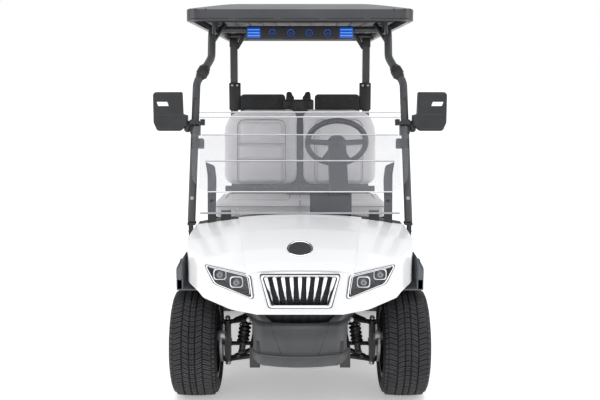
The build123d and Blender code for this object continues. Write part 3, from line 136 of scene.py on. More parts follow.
class EffectGroups:
    """The shader node groups that several finishes share, each built once."""

    def __init__(self) -> None:
        """Builds the groups."""
        self.grain = self._grain()
        self.tone = self._tone()
        self.soil = self._soil()

    @staticmethod
    def _start(name: str, ins: dict[str, str], outs: dict[str, str]) -> tuple[Tree, bpy.types.Node,
                                                                              bpy.types.Node]:
        """Makes an empty group with its sockets.

        Args:
            name: the group's name.
            ins: input names and socket types.
            outs: output names and socket types.

        Returns:
            The tree, its input node and its output node.
        """
        group = bpy.data.node_groups.new(name, "ShaderNodeTree")
        for label, kind in ins.items():
            group.interface.new_socket(name=label, in_out="INPUT", socket_type=kind)
        for label, kind in outs.items():
            group.interface.new_socket(name=label, in_out="OUTPUT", socket_type=kind)
        tree = Tree(group)
        return tree, tree.add("NodeGroupInput"), tree.add("NodeGroupOutput")

    def _grain(self) -> bpy.types.NodeTree:
        """Returns a moulded grain: pebbles with finer noise between them, as a height."""
        number = "NodeSocketFloat"
        tree, source, target = self._start(
            "moulded_grain", {"Place": "NodeSocketVector", "Size": number}, {"Height": number})
        pebbles = tree.add("ShaderNodeTexVoronoi", feature="SMOOTH_F1")
        fine = tree.add("ShaderNodeTexNoise")
        fine.inputs["Detail"].default_value = 3.0
        for node in (pebbles, fine):
            tree.join(source.outputs["Place"], node.inputs["Vector"])
        tree.join(source.outputs["Size"], pebbles.inputs["Scale"])
        tree.join(tree.math("MULTIPLY", source.outputs["Size"], 2.3), fine.inputs["Scale"])
        mixed = tree.math("ADD", tree.math("MULTIPLY", pebbles.outputs["Distance"], 0.7),
                          tree.math("MULTIPLY", fine.outputs["Fac"], 0.5))
        tree.join(mixed, target.inputs["Height"])
        return tree.tree

    def _tone(self) -> bpy.types.NodeTree:
        """Returns a slow drift between two tones and two roughnesses."""
        number = "NodeSocketFloat"
        tree, source, target = self._start(
            "tone_drift",
            {"Place": "NodeSocketVector", "Size": number, "Light": "NodeSocketColor",
             "Dark": "NodeSocketColor",
             "Smooth": number, "Rough": number},
            {"Colour": "NodeSocketColor", "Roughness": number})
        cloud = tree.add("ShaderNodeTexNoise")
        cloud.inputs["Detail"].default_value = 5.0
        cloud.inputs["Roughness"].default_value = 0.6
        tree.join(source.outputs["Place"], cloud.inputs["Vector"])
        tree.join(source.outputs["Size"], cloud.inputs["Scale"])
        spread = tree.add("ShaderNodeMapRange")
        spread.inputs["From Min"].default_value = 0.32
        spread.inputs["From Max"].default_value = 0.68
        tree.join(cloud.outputs["Fac"], spread.inputs["Value"])
        mix = tree.add("ShaderNodeMix", data_type="RGBA")
        tree.join(spread.outputs["Result"], mix.inputs["Factor"])
        tree.join(source.outputs["Light"], mix.inputs[6])
        tree.join(source.outputs["Dark"], mix.inputs[7])
        tree.join(mix.outputs[2], target.inputs["Colour"])
        level = tree.add("ShaderNodeMapRange")
        tree.join(spread.outputs["Result"], level.inputs["Value"])
        tree.join(source.outputs["Smooth"], level.inputs["To Min"])
        tree.join(source.outputs["Rough"], level.inputs["To Max"])
        tree.join(level.outputs["Result"], target.inputs["Roughness"])
        return tree.tree

    def _soil(self) -> bpy.types.NodeTree:
        """Returns a mask of fine dust that lies lower down and in patches."""
        number = "NodeSocketFloat"
        tree, source, target = self._start(
            "low_dust", {"Place": "NodeSocketVector", "Top": number, "Amount": number}, {"Mask": number})
        split = tree.add("ShaderNodeSeparateXYZ")
        tree.join(source.outputs["Place"], split.inputs[0])
        lower = tree.add("ShaderNodeMapRange")
        tree.join(split.outputs["Z"], lower.inputs["Value"])
        lower.inputs["From Min"].default_value = 0.0
        tree.join(source.outputs["Top"], lower.inputs["From Max"])
        lower.inputs["To Min"].default_value = 1.0
        lower.inputs["To Max"].default_value = 0.0
        patches = tree.add("ShaderNodeTexNoise")
        patches.inputs["Scale"].default_value = 38.0
        patches.inputs["Detail"].default_value = 6.0
        tree.join(source.outputs["Place"], patches.inputs["Vector"])
        both = tree.math("MULTIPLY", lower.outputs["Result"], patches.outputs["Fac"])
        tree.join(tree.math("MULTIPLY", both, source.outputs["Amount"]), target.inputs["Mask"])
        return tree.tree


GROUPS = EffectGroups()


def full(colour: Colour) -> tuple[float, float, float, float]:
    """Returns the colour with an alpha of one."""
    return (*colour, 1.0)


@dataclass(frozen=True)
class SolidFinish:
    """An opaque finish: two close tones, a band of roughness, a grain and, low down, some dust."""

    name: str
    slot: str
    light: Colour
    dark: Colour
    smooth: float
    rough: float
    metallic: float = 0.0
    coat: float = 0.0
    specular: float = 0.5
    drift: float = 5.0
    grain: float = 700.0
    depth: float = 0.00012
    stretch: Point = (1.0, 1.0, 1.0)
    dust: float = 0.0
    dust_top: float = 0.5
    glow: float = 0.0

    def build(self) -> bpy.types.Material:
        """Returns the material, built from the shared groups."""
        material, tree, shader, place = start_material(self.name)
        tone = tree.add("ShaderNodeGroup", node_tree=GROUPS.tone)
        tree.join(place, tone.inputs["Place"])
        tone.inputs["Size"].default_value = self.drift
        tone.inputs["Light"].default_value = full(self.light)
        tone.inputs["Dark"].default_value = full(self.dark)
        tone.inputs["Smooth"].default_value = self.smooth
        tone.inputs["Rough"].default_value = self.rough
        tree.join(tone.outputs["Roughness"], shader.inputs["Roughness"])
        colour = tone.outputs["Colour"]
        if self.dust > 0:
            soil = tree.add("ShaderNodeGroup", node_tree=GROUPS.soil)
            tree.join(place, soil.inputs["Place"])
            soil.inputs["Top"].default_value = self.dust_top
            soil.inputs["Amount"].default_value = self.dust
            cover = tree.add("ShaderNodeMix", data_type="RGBA")
            tree.join(soil.outputs["Mask"], cover.inputs["Factor"])
            tree.join(colour, cover.inputs[6])
            cover.inputs[7].default_value = (0.2, 0.185, 0.165, 1.0)
            colour = cover.outputs[2]
        tree.join(colour, shader.inputs["Base Color"])
        stretched = tree.add("ShaderNodeMapping")
        stretched.inputs["Scale"].default_value = self.stretch
        tree.join(place, stretched.inputs["Vector"])
        grain = tree.add("ShaderNodeGroup", node_tree=GROUPS.grain)
        tree.join(stretched.outputs["Vector"], grain.inputs["Place"])
        grain.inputs["Size"].default_value = self.grain
        bump = tree.add("ShaderNodeBump")
        bump.inputs["Strength"].default_value = 1.0
        bump.inputs["Distance"].default_value = self.depth
        tree.join(grain.outputs["Height"], bump.inputs["Height"])
        tree.join(bump.outputs["Normal"], shader.inputs["Normal"])
        shader.inputs["Metallic"].default_value = self.metallic
        shader.inputs["Coat Weight"].default_value = self.coat
        shader.inputs["Coat Roughness"].default_value = 0.04
        shader.inputs["Specular IOR Level"].default_value = self.specular
        if self.glow > 0:
            tree.join(colour, shader.inputs["Emission Color"])
            shader.inputs["Emission Strength"].default_value = self.glow
        return material


@dataclass(frozen=True)
class ClearFinish:
    """A see-through sheet whose faces that turn away from the sheet, its cut edges, take a brighter and less
    clear colour: a painted highlight.
    """

    name: str
    slot: str
    tint: Colour
    # The edge colour and its alpha are a painted highlight on the cut edges.
    edge: Colour
    alpha: float
    edge_highlight_alpha: float
    facing: Point = (0.0, -0.954, 0.299)
    roughness: float = 0.03

    def build(self) -> bpy.types.Material:
        """Returns the material."""
        material, tree, shader, place = start_material(self.name)
        normal = tree.add("ShaderNodeTexCoord").outputs["Normal"]
        turn = tree.add("ShaderNodeVectorMath", operation="DOT_PRODUCT")
        tree.join(normal, turn.inputs[0])
        turn.inputs[1].default_value = self.facing
        # Painted highlight: faces that turn away from the sheet take the edge colour and alpha.
        away = tree.math("LESS_THAN", tree.math("ABSOLUTE", turn.outputs["Value"]), 0.6)
        haze = tree.add("ShaderNodeTexNoise")
        haze.inputs["Scale"].default_value = 3.0
        haze.inputs["Detail"].default_value = 4.0
        tree.join(place, haze.inputs["Vector"])
        cloud = tree.math("MULTIPLY_ADD", haze.outputs["Fac"], 0.06)
        cloud.node.inputs[2].default_value = self.alpha - 0.03
        mix = tree.add("ShaderNodeMix", data_type="RGBA")
        tree.join(away, mix.inputs["Factor"])
        mix.inputs[6].default_value = full(self.tint)
        mix.inputs[7].default_value = full(self.edge)
        tree.join(mix.outputs[2], shader.inputs["Base Color"])
        see = tree.add("ShaderNodeMix", data_type="FLOAT")
        tree.join(away, see.inputs["Factor"])
        tree.join(cloud, see.inputs[2])
        see.inputs[3].default_value = self.edge_highlight_alpha
        tree.join(see.outputs[0], shader.inputs["Alpha"])
        scratches = tree.add("ShaderNodeTexNoise")
        scratches.inputs["Scale"].default_value = 60.0
        tree.join(place, scratches.inputs["Vector"])
        level = tree.math("MULTIPLY_ADD", scratches.outputs["Fac"], 0.05)
        level.node.inputs[2].default_value = self.roughness
        tree.join(level, shader.inputs["Roughness"])
        material.surface_render_method = "BLENDED"
        return material


def start_material(name: str) -> tuple[bpy.types.Material, Tree, bpy.types.Node, bpy.types.NodeSocket]:
    """Makes a material with a Principled shader.

    Args:
        name: the material's name.

    Returns:
        The material, its tree, its shader and the socket of object coordinates.
    """
    material = bpy.data.materials.new(name)
    material.use_nodes = True
    tree = Tree(material.node_tree)
    shader = material.node_tree.nodes["Principled BSDF"]
    place = tree.add("ShaderNodeTexCoord").outputs["Object"]
    return material, tree, shader, place


class Finishes(Enum):
    """Every finish on the cart."""

    BODY_WHITE = SolidFinish("body_white", "body_white", (0.84, 0.845, 0.86), (0.81, 0.815, 0.83), 0.16,
                             0.24,
                             coat=0.6, grain=260.0, depth=0.000012, drift=2.0)
    CHARCOAL = SolidFinish("charcoal_plastic", "charcoal_plastic", (0.058, 0.06, 0.065),
                           (0.044, 0.046, 0.051),
                           0.36, 0.46, grain=900.0, depth=0.00006, drift=9.0, dust=0.12)
    FLARE_GREY = SolidFinish("flare_grey", "charcoal_plastic", (0.115, 0.125, 0.14), (0.095, 0.103, 0.116),
                             0.4, 0.52, grain=900.0, depth=0.00006, drift=9.0, dust=0.2, dust_top=0.8)
    BLACK_PLASTIC = SolidFinish("black_plastic", "black_plastic", (0.022, 0.023, 0.025),
                                (0.014, 0.015, 0.017),
                                0.38, 0.52, grain=1000.0, depth=0.00008, drift=8.0)
    BLACK_METAL = SolidFinish("black_metal", "black_metal", (0.02, 0.02, 0.021), (0.012, 0.012, 0.013),
                              0.34, 0.5, grain=500.0, depth=0.00006, dust=0.25, dust_top=0.5)
    CANOPY_METAL = SolidFinish("canopy_metal", "canopy_metal", (0.06, 0.064, 0.07), (0.046, 0.049, 0.054),
                               0.3, 0.42, grain=650.0, depth=0.00005, drift=4.0)
    ROOF = SolidFinish("roof_shell", "charcoal_plastic", (0.05, 0.053, 0.058), (0.038, 0.04, 0.045),
                       0.28, 0.4, grain=500.0, depth=0.00005, drift=3.0)
    LINER = SolidFinish("roof_liner", "black_plastic", (0.011, 0.0115, 0.012), (0.006, 0.0065, 0.007),
                        0.45, 0.6, grain=800.0, depth=0.0001)
    CHROME = SolidFinish("chrome", "chrome", (0.86, 0.87, 0.89), (0.8, 0.81, 0.84), 0.05, 0.12,
                         metallic=1.0, grain=120.0, depth=0.000008)
    SMOKED_CHROME = SolidFinish("smoked_chrome", "chrome", (0.22, 0.23, 0.25), (0.16, 0.17, 0.18), 0.12,
                                0.24,
                                metallic=1.0, grain=200.0, depth=0.00001)
    RIM = SolidFinish("rim_alloy", "rim_alloy", (0.075, 0.077, 0.082), (0.055, 0.057, 0.062), 0.22, 0.34,
                      metallic=0.75, grain=600.0, depth=0.00003, dust=0.25, dust_top=0.56)
    STEEL = SolidFinish("zinc_steel", "steel", (0.5, 0.51, 0.53), (0.38, 0.39, 0.41), 0.24, 0.42,
                        metallic=1.0, grain=900.0, depth=0.00004, dust=0.2)
    TYRE = SolidFinish("tyre_rubber", "tyre", (0.046, 0.047, 0.051), (0.034, 0.035, 0.038), 0.58, 0.74,
                       grain=1100.0, depth=0.0001, drift=14.0, dust=0.05, dust_top=0.6, specular=0.35)
    # Painted shade: the carcass, seen as the grooves' floors and the sidewalls, is painted far darker than
    # the tread blocks of the same rubber.
    TYRE_CASE_SHADE = SolidFinish("tyre_carcass_painted_shade", "tyre", (0.012, 0.012, 0.013), (0.007, 0.007, 0.008), 0.6, 0.75,
                            grain=1100.0, depth=0.0001, drift=14.0, specular=0.3)
    SEAT = SolidFinish("seat_vinyl", "seat_vinyl", (0.8, 0.79, 0.81), (0.75, 0.74, 0.76), 0.46, 0.56,
                       grain=620.0, depth=0.00022, drift=5.0)
    SEAT_INSERT = SolidFinish("seat_insert", "seat_vinyl", (0.77, 0.76, 0.78), (0.7, 0.69, 0.71), 0.55, 0.68,
                              grain=420.0, depth=0.0004, drift=16.0)
    PIPING = SolidFinish("seat_piping", "seat_vinyl", (0.36, 0.36, 0.37), (0.3, 0.3, 0.31), 0.5, 0.6,
                         grain=900.0, depth=0.0001)
    RUBBER = SolidFinish("floor_rubber", "rubber", (0.03, 0.03, 0.031), (0.02, 0.02, 0.021), 0.6, 0.75,
                         grain=700.0, depth=0.00015, dust=0.25, dust_top=0.6)
    WEBBING = SolidFinish("belt_webbing", "black_plastic", (0.02, 0.02, 0.022), (0.01, 0.01, 0.011), 0.6,
                          0.75,
                          grain=500.0, depth=0.0003, stretch=(1.0, 1.0, 0.35))
    RED_LENS = SolidFinish("red_lens", "red_lens", (0.42, 0.01, 0.012), (0.3, 0.006, 0.008), 0.08, 0.16,
                           coat=1.0, grain=160.0, depth=0.0004)
    AMBER_LENS = SolidFinish("amber_lens", "red_lens", (0.62, 0.2, 0.01), (0.5, 0.14, 0.008), 0.08, 0.16,
                             coat=1.0, grain=160.0, depth=0.0004)
    BLUE_GLOW = SolidFinish("blue_glow", "black_plastic", (0.01, 0.085, 0.52), (0.006, 0.06, 0.42), 0.25,
                            0.32,
                            grain=600.0, depth=0.00005, glow=0.35)
    SKY_GLOW = SolidFinish("sky_glow", "black_plastic", (0.12, 0.42, 0.95), (0.09, 0.36, 0.86), 0.25, 0.32,
                           grain=600.0, depth=0.00005, glow=0.45)
    # The cones' deep blue is their own; their glow is painted light from the lit rings.
    DEEP_BLUE = SolidFinish("deep_blue", "black_plastic", (0.012, 0.03, 0.115), (0.008, 0.02, 0.08), 0.3,
                            0.4,
                            grain=700.0, depth=0.00006, glow=0.25)
    # Painted highlight: bright strips with a glow laid along the panes' cut edges.
    PANE_EDGE_HIGHLIGHT = SolidFinish("pane_edge_highlight", "clear_acrylic", (0.88, 0.89, 0.92), (0.82, 0.83, 0.86), 0.15, 0.25,
                            grain=300.0, depth=0.00003, glow=0.12)
    # Painted shade: the grey line under each edge highlight and along the lower pane's foot.
    PANE_SHADE_LINE = SolidFinish("pane_shade_line", "clear_acrylic", (0.42, 0.43, 0.46), (0.36, 0.37, 0.4), 0.15, 0.25,
                            grain=300.0, depth=0.00003)
    LAMP_WHITE = SolidFinish("lamp_white", "lamp_lens", (0.8, 0.82, 0.85), (0.72, 0.74, 0.78), 0.2, 0.3,
                             grain=500.0, depth=0.00005, glow=0.12)
    MIRROR = SolidFinish("mirror_face", "mirror", (0.88, 0.89, 0.9), (0.86, 0.87, 0.88), 0.02, 0.05,
                         metallic=1.0, grain=30.0, depth=0.000002)
    # Its glow is painted light, lifting the mirror markers and the bare plate brighter than the lamps make
    # them.
    WHITE_LABEL = SolidFinish("white_marker", "lamp_lens", (0.85, 0.86, 0.87), (0.8, 0.81, 0.82), 0.25, 0.35,
                              grain=500.0, depth=0.00003, glow=0.1)
    # Both clear finishes paint a highlight on their cut edges.
    ACRYLIC = ClearFinish("clear_acrylic", "clear_acrylic", (0.38, 0.39, 0.43), (0.8, 0.83, 0.86), 0.115,
                          0.55)
    LENS = ClearFinish("lamp_cover", "lamp_lens", (0.8, 0.84, 0.88), (0.75, 0.79, 0.84), 0.05, 0.22)


class Paintshop:
    """Builds each finish once and hands it out."""

    def __init__(self) -> None:
        """Starts with nothing built."""
        self.made: dict[str, bpy.types.Material] = {}

    def get(self, finish: Finishes) -> bpy.types.Material:
        """Returns the finish's material, building it at its first use."""
        if finish.name not in self.made:
            self.made[finish.name] = finish.value.build()
        return self.made[finish.name]

    def dress_node(self, node: str, finish: Finishes) -> None:
        """Gives every slot of a CAD node the finish.

        Args:
            node: the node's name.
            finish: what it is made of.
        """
        slots = frame["nodes"][node].material_slots
        for slot in slots:
            slot.material = self.get(finish)
        if not slots:
            frame["nodes"][node].data.materials.append(self.get(finish))


PAINT = Paintshop()


# ---------------------------------------------------------------- making pieces
class Shape:
    """A bmesh with the few steps that the cart's pieces are made by."""

    def __init__(self) -> None:
        """Starts empty."""
        self.bm = bmesh.new()

    def block(self, centre: Point, size: Point, bevel: float = 0.0, segments: int = 2,
              turn: Matrix | None = None) -> "Shape":
        """Adds a box with rounded edges.

        Args:
            centre: its middle.
            size: its three sizes.
            bevel: the rounding's width, or 0 for none.
            segments: faces across the rounding.
            turn: a rotation about its middle.

        Returns:
            This shape.
        """
        made = bmesh.ops.create_cube(self.bm, size=1.0)["verts"]
        bmesh.ops.scale(self.bm, vec=size, verts=made)
        if bevel > 0:
            made = self.round_off(made, bevel, segments)
        self.settle(made, turn, centre)
        return self

    def round_off(self, verts: list, bevel: float, segments: int = 2) -> list:
        """Bevels the edges between some vertices.

        Args:
            verts: the vertices of one solid.
            bevel: the rounding's width.
            segments: faces across it.

        Returns:
            The solid's vertices after the bevel.
        """
        chosen = set(verts)
        edges = [e for e in self.bm.edges if e.verts[0] in chosen and e.verts[1] in chosen]
        others = set(self.bm.verts) - chosen
        bmesh.ops.bevel(self.bm, geom=edges, offset=bevel, offset_type="OFFSET", segments=segments,
                        profile=0.5,
                        affect="EDGES", material=-1)
        return [v for v in self.bm.verts if v not in others]

    def settle(self, verts: list, turn: Matrix | None, centre: Point) -> None:
        """Turns vertices about the origin and then moves them.

        Args:
            verts: what moves.
            turn: a rotation, or None.
            centre: where the origin goes.
        """
        if turn is not None:
            bmesh.ops.transform(self.bm, matrix=turn.to_4x4(), verts=verts)
        bmesh.ops.translate(self.bm, vec=centre, verts=verts)

    def bar(self, start: Point, end: Point, radius: float, sides: int = 24, bevel: float = 0.0,
            end_radius: float | None = None) -> "Shape":
        """Adds a round bar between two points.

        Args:
            start: one end.
            end: the other end.
            radius: its radius, at the start.
            sides: its faces around.
            bevel: the rounding at both ends.
            end_radius: the radius at the end, where it tapers.

        Returns:
            This shape.
        """
        line = Vector(end) - Vector(start)
        top = radius if end_radius is None else end_radius
        made = bmesh.ops.create_cone(self.bm, cap_ends=True, segments=sides, radius1=radius, radius2=top,
                                     depth=line.length)["verts"]
        if bevel > 0:
            rims = [e for e in self.bm.edges if set(e.verts) <= set(made)
                    and abs(e.verts[0].co.z - e.verts[1].co.z) < 1e-7]
            others = set(self.bm.verts) - set(made)
            bmesh.ops.bevel(self.bm, geom=rims, offset=bevel, offset_type="OFFSET", segments=2, profile=0.5,
                            affect="EDGES", material=-1)
            made = [v for v in self.bm.verts if v not in others]
        turn = Vector((0, 0, 1)).rotation_difference(line).to_matrix()
        self.settle(made, turn, (Vector(start) + Vector(end)) / 2)
        return self

    def plate(self, corners: list[tuple[float, float]], thick: float, frame_at: Matrix, bevel: float = 0.0,
              segments: int = 2) -> "Shape":
        """Adds a flat plate from an outline.

        Args:
            corners: the outline in the plate's own plane.
            thick: its thickness, along the plane's third axis.
            frame_at: the plane's place, as a matrix.
            bevel: the rounding of all its edges.
            segments: faces across the rounding.

        Returns:
            This shape.
        """
        verts = [self.bm.verts.new((u, v, 0)) for u, v in corners]
        face = self.bm.faces.new(verts)
        grown = bmesh.ops.extrude_face_region(self.bm, geom=[face])["geom"]
        top = [g for g in grown if isinstance(g, bmesh.types.BMVert)]
        bmesh.ops.translate(self.bm, vec=(0, 0, thick), verts=top)
        made = verts + top
        if bevel > 0:
            made = self.round_off(made, bevel, segments)
        bmesh.ops.transform(self.bm, matrix=frame_at, verts=made)
        return self

    def ring(self, profile: list[tuple[float, float]], centre: Point, axis: Point, steps: int = 64,
             closed: bool = True) -> "Shape":
        """Spins an outline about an axis.

        Args:
            profile: points of (distance along the axis, radius).
            centre: a point on the axis.
            axis: its direction.
            steps: faces around.
            closed: whether the outline's ends join.

        Returns:
            This shape.
        """
        before = set(self.bm.verts)
        verts = [self.bm.verts.new((radius, 0, along)) for along, radius in profile]
        pairs = list(zip(verts, verts[1:])) + ([(verts[-1], verts[0])] if closed else [])
        edges = [self.bm.edges.new(ends) for ends in pairs]
        bmesh.ops.spin(self.bm, geom=verts + edges, cent=(0, 0, 0), axis=(0, 0, 1), angle=math.tau,
                       steps=steps,
                       use_merge=True)
        made = [v for v in self.bm.verts if v not in before]
        bmesh.ops.remove_doubles(self.bm, verts=made, dist=1e-6)
        made = [v for v in self.bm.verts if v not in before]
        turn = Vector((0, 0, 1)).rotation_difference(Vector(axis)).to_matrix()
        self.settle(made, turn, centre)
        return self

    def banded(self, loops: list[list[Point]], around: bool = True) -> "Shape":
        """Joins closed outlines, of as many points each, with bands of faces.

        Args:
            loops: the outlines, in order.
            around: whether the last one joins the first one.

        Returns:
            This shape.
        """
        rows = [[self.bm.verts.new(place) for place in loop] for loop in loops]
        pairs = list(zip(rows, rows[1:])) + ([(rows[-1], rows[0])] if around else [])
        for first, second in pairs:
            for k in range(len(first)):
                self.bm.faces.new((first[k - 1], first[k], second[k], second[k - 1]))
        return self

    def cut(self, place: Point, away: Point, ahead_of: float = math.inf) -> "Shape":
        """Cuts off what lies beyond a plane and closes the cut.

        Args:
            place: a point of the plane.
            away: the way towards what is cut off.
            ahead_of: only solids that lie wholly in front of this Y are cut.

        Returns:
            This shape.
        """
        left = set(self.bm.verts)
        geometry = []
        while left:
            island = [left.pop()]
            for vert in island:
                near = [e.other_vert(vert) for e in vert.link_edges]
                island += [v for v in near if v in left]
                left.difference_update(near)
            if max(v.co.y for v in island) < ahead_of:
                edges = {e for v in island for e in v.link_edges}
                faces = {f for v in island for f in v.link_faces}
                geometry += island + list(edges) + list(faces)
        made = bmesh.ops.bisect_plane(self.bm, geom=geometry, dist=1e-6, plane_co=place, plane_no=away,
                                      clear_outer=True)["geom_cut"]
        rim = [g for g in made if isinstance(g, bmesh.types.BMEdge)]
        bmesh.ops.holes_fill(self.bm, edges=rim, sides=0)
        return self

    def hose(self, path: list[Point], radius: float, sides: int = 12) -> "Shape":
        """Adds a round bead along a path, smoothed between its points.

        Args:
            path: the points it passes.
            radius: the bead's radius.
            sides: its faces around.

        Returns:
            This shape.
        """
        curve = bpy.data.curves.new("path", "CURVE")
        curve.dimensions = "3D"
        spline = curve.splines.new("NURBS")
        spline.points.add(len(path) - 1)
        for point, place in zip(spline.points, path):
            point.co = (*place, 1.0)
        spline.order_u = 3
        spline.use_endpoint_u = True
        curve.bevel_depth = radius
        curve.bevel_resolution = max(1, sides // 4 - 1)
        curve.use_fill_caps = True
        carrier = bpy.data.objects.new("path", curve)
        made = bpy.data.meshes.new_from_object(carrier)
        self.bm.from_mesh(made)
        bpy.data.objects.remove(carrier)
        bpy.data.curves.remove(curve)
        bpy.data.meshes.remove(made)
        return self

    def mirrored(self) -> "Shape":
        """Adds the same shape on the cart's other side."""
        copies = bmesh.ops.duplicate(self.bm,
                                     geom=self.bm.verts[:] + self.bm.edges[:] + self.bm.faces[:])["geom"]
        verts = [g for g in copies if isinstance(g, bmesh.types.BMVert)]
        bmesh.ops.scale(self.bm, vec=(-1, 1, 1), verts=verts)
        faces = [g for g in copies if isinstance(g, bmesh.types.BMFace)]
        bmesh.ops.reverse_faces(self.bm, faces=faces)
        return self

    def spun(self, count: int, centre: Point, axis: Point) -> "Shape":
        """Repeats the shape round an axis.

        Args:
            count: how many there are in all.
            centre: a point on the axis.
            axis: the axis.

        Returns:
            This shape.
        """
        geometry = self.bm.verts[:] + self.bm.edges[:] + self.bm.faces[:]
        for place in range(1, count):
            copies = bmesh.ops.duplicate(self.bm, geom=geometry)["geom"]
            verts = [g for g in copies if isinstance(g, bmesh.types.BMVert)]
            bmesh.ops.rotate(self.bm, cent=centre,
                             matrix=Matrix.Rotation(math.tau * place / count, 3, Vector(axis)),
                             verts=verts)
        return self

    def piece(self, name: str, finish: Finishes, body: str = "cart", angle: float = 35.0,
              stands_for: tuple[str, ...] = ()) -> bpy.types.Object:
        """Closes the shape and makes it a piece that rides on a body.

        Args:
            name: the piece's name.
            finish: what it is made of.
            body: the CAD body that it rides on.
            angle: edges sharper than this stay sharp.
            stands_for: CAD nodes that it replaces.

        Returns:
            The piece.
        """
        bmesh.ops.recalc_face_normals(self.bm, faces=self.bm.faces)
        mesh = bpy.data.meshes.new(name)
        self.bm.to_mesh(mesh)
        self.bm.free()
        return as_piece(name, mesh, finish, body, angle, stands_for)


def as_piece(name: str, mesh: bpy.types.Mesh, finish: Finishes, body: str, angle: float = 35.0,
             stands_for: tuple[str, ...] = ()) -> bpy.types.Object:
    """Makes a mesh a finished piece.

    Args:
        name: the piece's name.
        mesh: its mesh, with its place in its vertices.
        finish: what it is made of.
        body: the CAD body that it rides on.
        angle: edges sharper than this stay sharp.
        stands_for: CAD nodes that it replaces.

    Returns:
        The piece.
    """
    mesh.shade_smooth()
    mesh.set_sharp_from_angle(angle=math.radians(angle))
    mesh.materials.clear()
    mesh.materials.append(PAINT.get(finish))
    made = bpy.data.objects.new(name, mesh)
    bpy.context.scene.collection.objects.link(made)
    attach(made, body)
    if stands_for:
        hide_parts(*stands_for)
    log.info("%s: %d faces on %s", name, len(mesh.polygons), body)
    return made


def merged_form(node: str, flat_faces: bool = True) -> Shape:
    """Returns a CAD node's form with its loose triangles joined.

    Args:
        node: the CAD node.
        flat_faces: whether triangles of one flat face become one face.
    """
    form = Shape()
    form.bm.from_mesh(frame["nodes"][node].data)
    bmesh.ops.remove_doubles(form.bm, verts=form.bm.verts, dist=2e-5)
    if flat_faces:
        bmesh.ops.dissolve_limit(form.bm, angle_limit=math.radians(0.5), verts=form.bm.verts,
                                 edges=form.bm.edges,
                                 delimit=set())
    return form


def smooth_copy(node: str, name: str, finish: Finishes, angle: float = 30.0, bevel: float = 0.0,
                weighted: bool = False) -> bpy.types.Object:
    """Copies a CAD node, joins its loose triangles, and shades its curves smoothly.

    Args:
        node: the CAD node, which the copy replaces.
        name: the piece's name.
        finish: what it is made of.
        angle: edges sharper than this stay sharp.
        bevel: a small rounding of the sharp edges, or 0.
        weighted: whether broad faces lead the shading.

    Returns:
        The piece.
    """
    mesh = bpy.data.meshes.new(name)
    form = merged_form(node, not weighted)
    form.bm.to_mesh(mesh)
    form.bm.free()
    made = as_piece(name, mesh, finish, frame["nodes"][node]["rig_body"], angle, (node,))
    if bevel > 0:
        edge = made.modifiers.new("edge", "BEVEL")
        edge.width = bevel
        edge.segments = 2
        edge.limit_method = "ANGLE"
        edge.angle_limit = math.radians(angle)
    if weighted:
        lead = made.modifiers.new("lead", "WEIGHTED_NORMAL")
        lead.keep_sharp = True
    return made


def plane_at(origin: Point, across: Point, up: Point) -> Matrix:
    """Returns a plane's matrix.

    Args:
        origin: the plane's origin.
        across: its first axis.
        up: its second axis.
    """
    first = Vector(across).normalized()
    second = Vector(up).normalized()
    third = first.cross(second)
    made = Matrix((first, second, third)).transposed().to_4x4()
    made.translation = Vector(origin)
    return made


def front_plane(y: float) -> Matrix:
    """Returns the upright plane at a Y, with X across and Z up; its third axis points forwards."""
    return plane_at((0, y, 0), (1, 0, 0), (0, 0, 1))


def rounded(corners: list[tuple[float, float]], radius: float, steps: int = 4) -> list[tuple[float, float]]:
    """Rounds an outline's corners.

    Args:
        corners: the outline.
        radius: how far from each corner the rounding starts.
        steps: points on each rounding, less one.

    Returns:
        The outline with arcs at its corners.
    """
    result = []
    count = len(corners)
    for place, corner in enumerate(corners):
        here = Vector(corner)
        before = Vector(corners[place - 1]) - here
        after = Vector(corners[(place + 1) % count]) - here
        reach = min(radius, before.length * 0.45, after.length * 0.45)
        start = here + before.normalized() * reach
        end = here + after.normalized() * reach
        for step in range(steps + 1):
            share = step / steps
            result.append(tuple((1 - share) ** 2 * start + 2 * share * (1 - share) * here + share ** 2 * end))
    return result


class Bolt(Enum):
    """The fasteners that show."""

    M6 = (0.0055, 0.004)
    M8 = (0.0075, 0.0055)
    M10 = (0.0095, 0.0065)
    M12 = (0.0115, 0.008)


def add_bolt(shape: Shape, size: Bolt, seat: Point, out: Point) -> None:
    """Adds a washer and a hexagon head.

    Args:
        shape: what it is added to.
        size: the bolt's size.
        seat: where its washer lies.
        out: the way its head points.
    """
    radius, height = size.value
    way = Vector(out).normalized()
    base = Vector(seat)
    shape.bar(base, base + way * 0.0018, radius * 1.35, 20, 0.0004)
    shape.bar(base + way * 0.0015, base + way * height, radius, 6, 0.0007)
    shape.bar(base + way * height * 0.9, base + way * (height + 0.0012), radius * 0.62, 16)


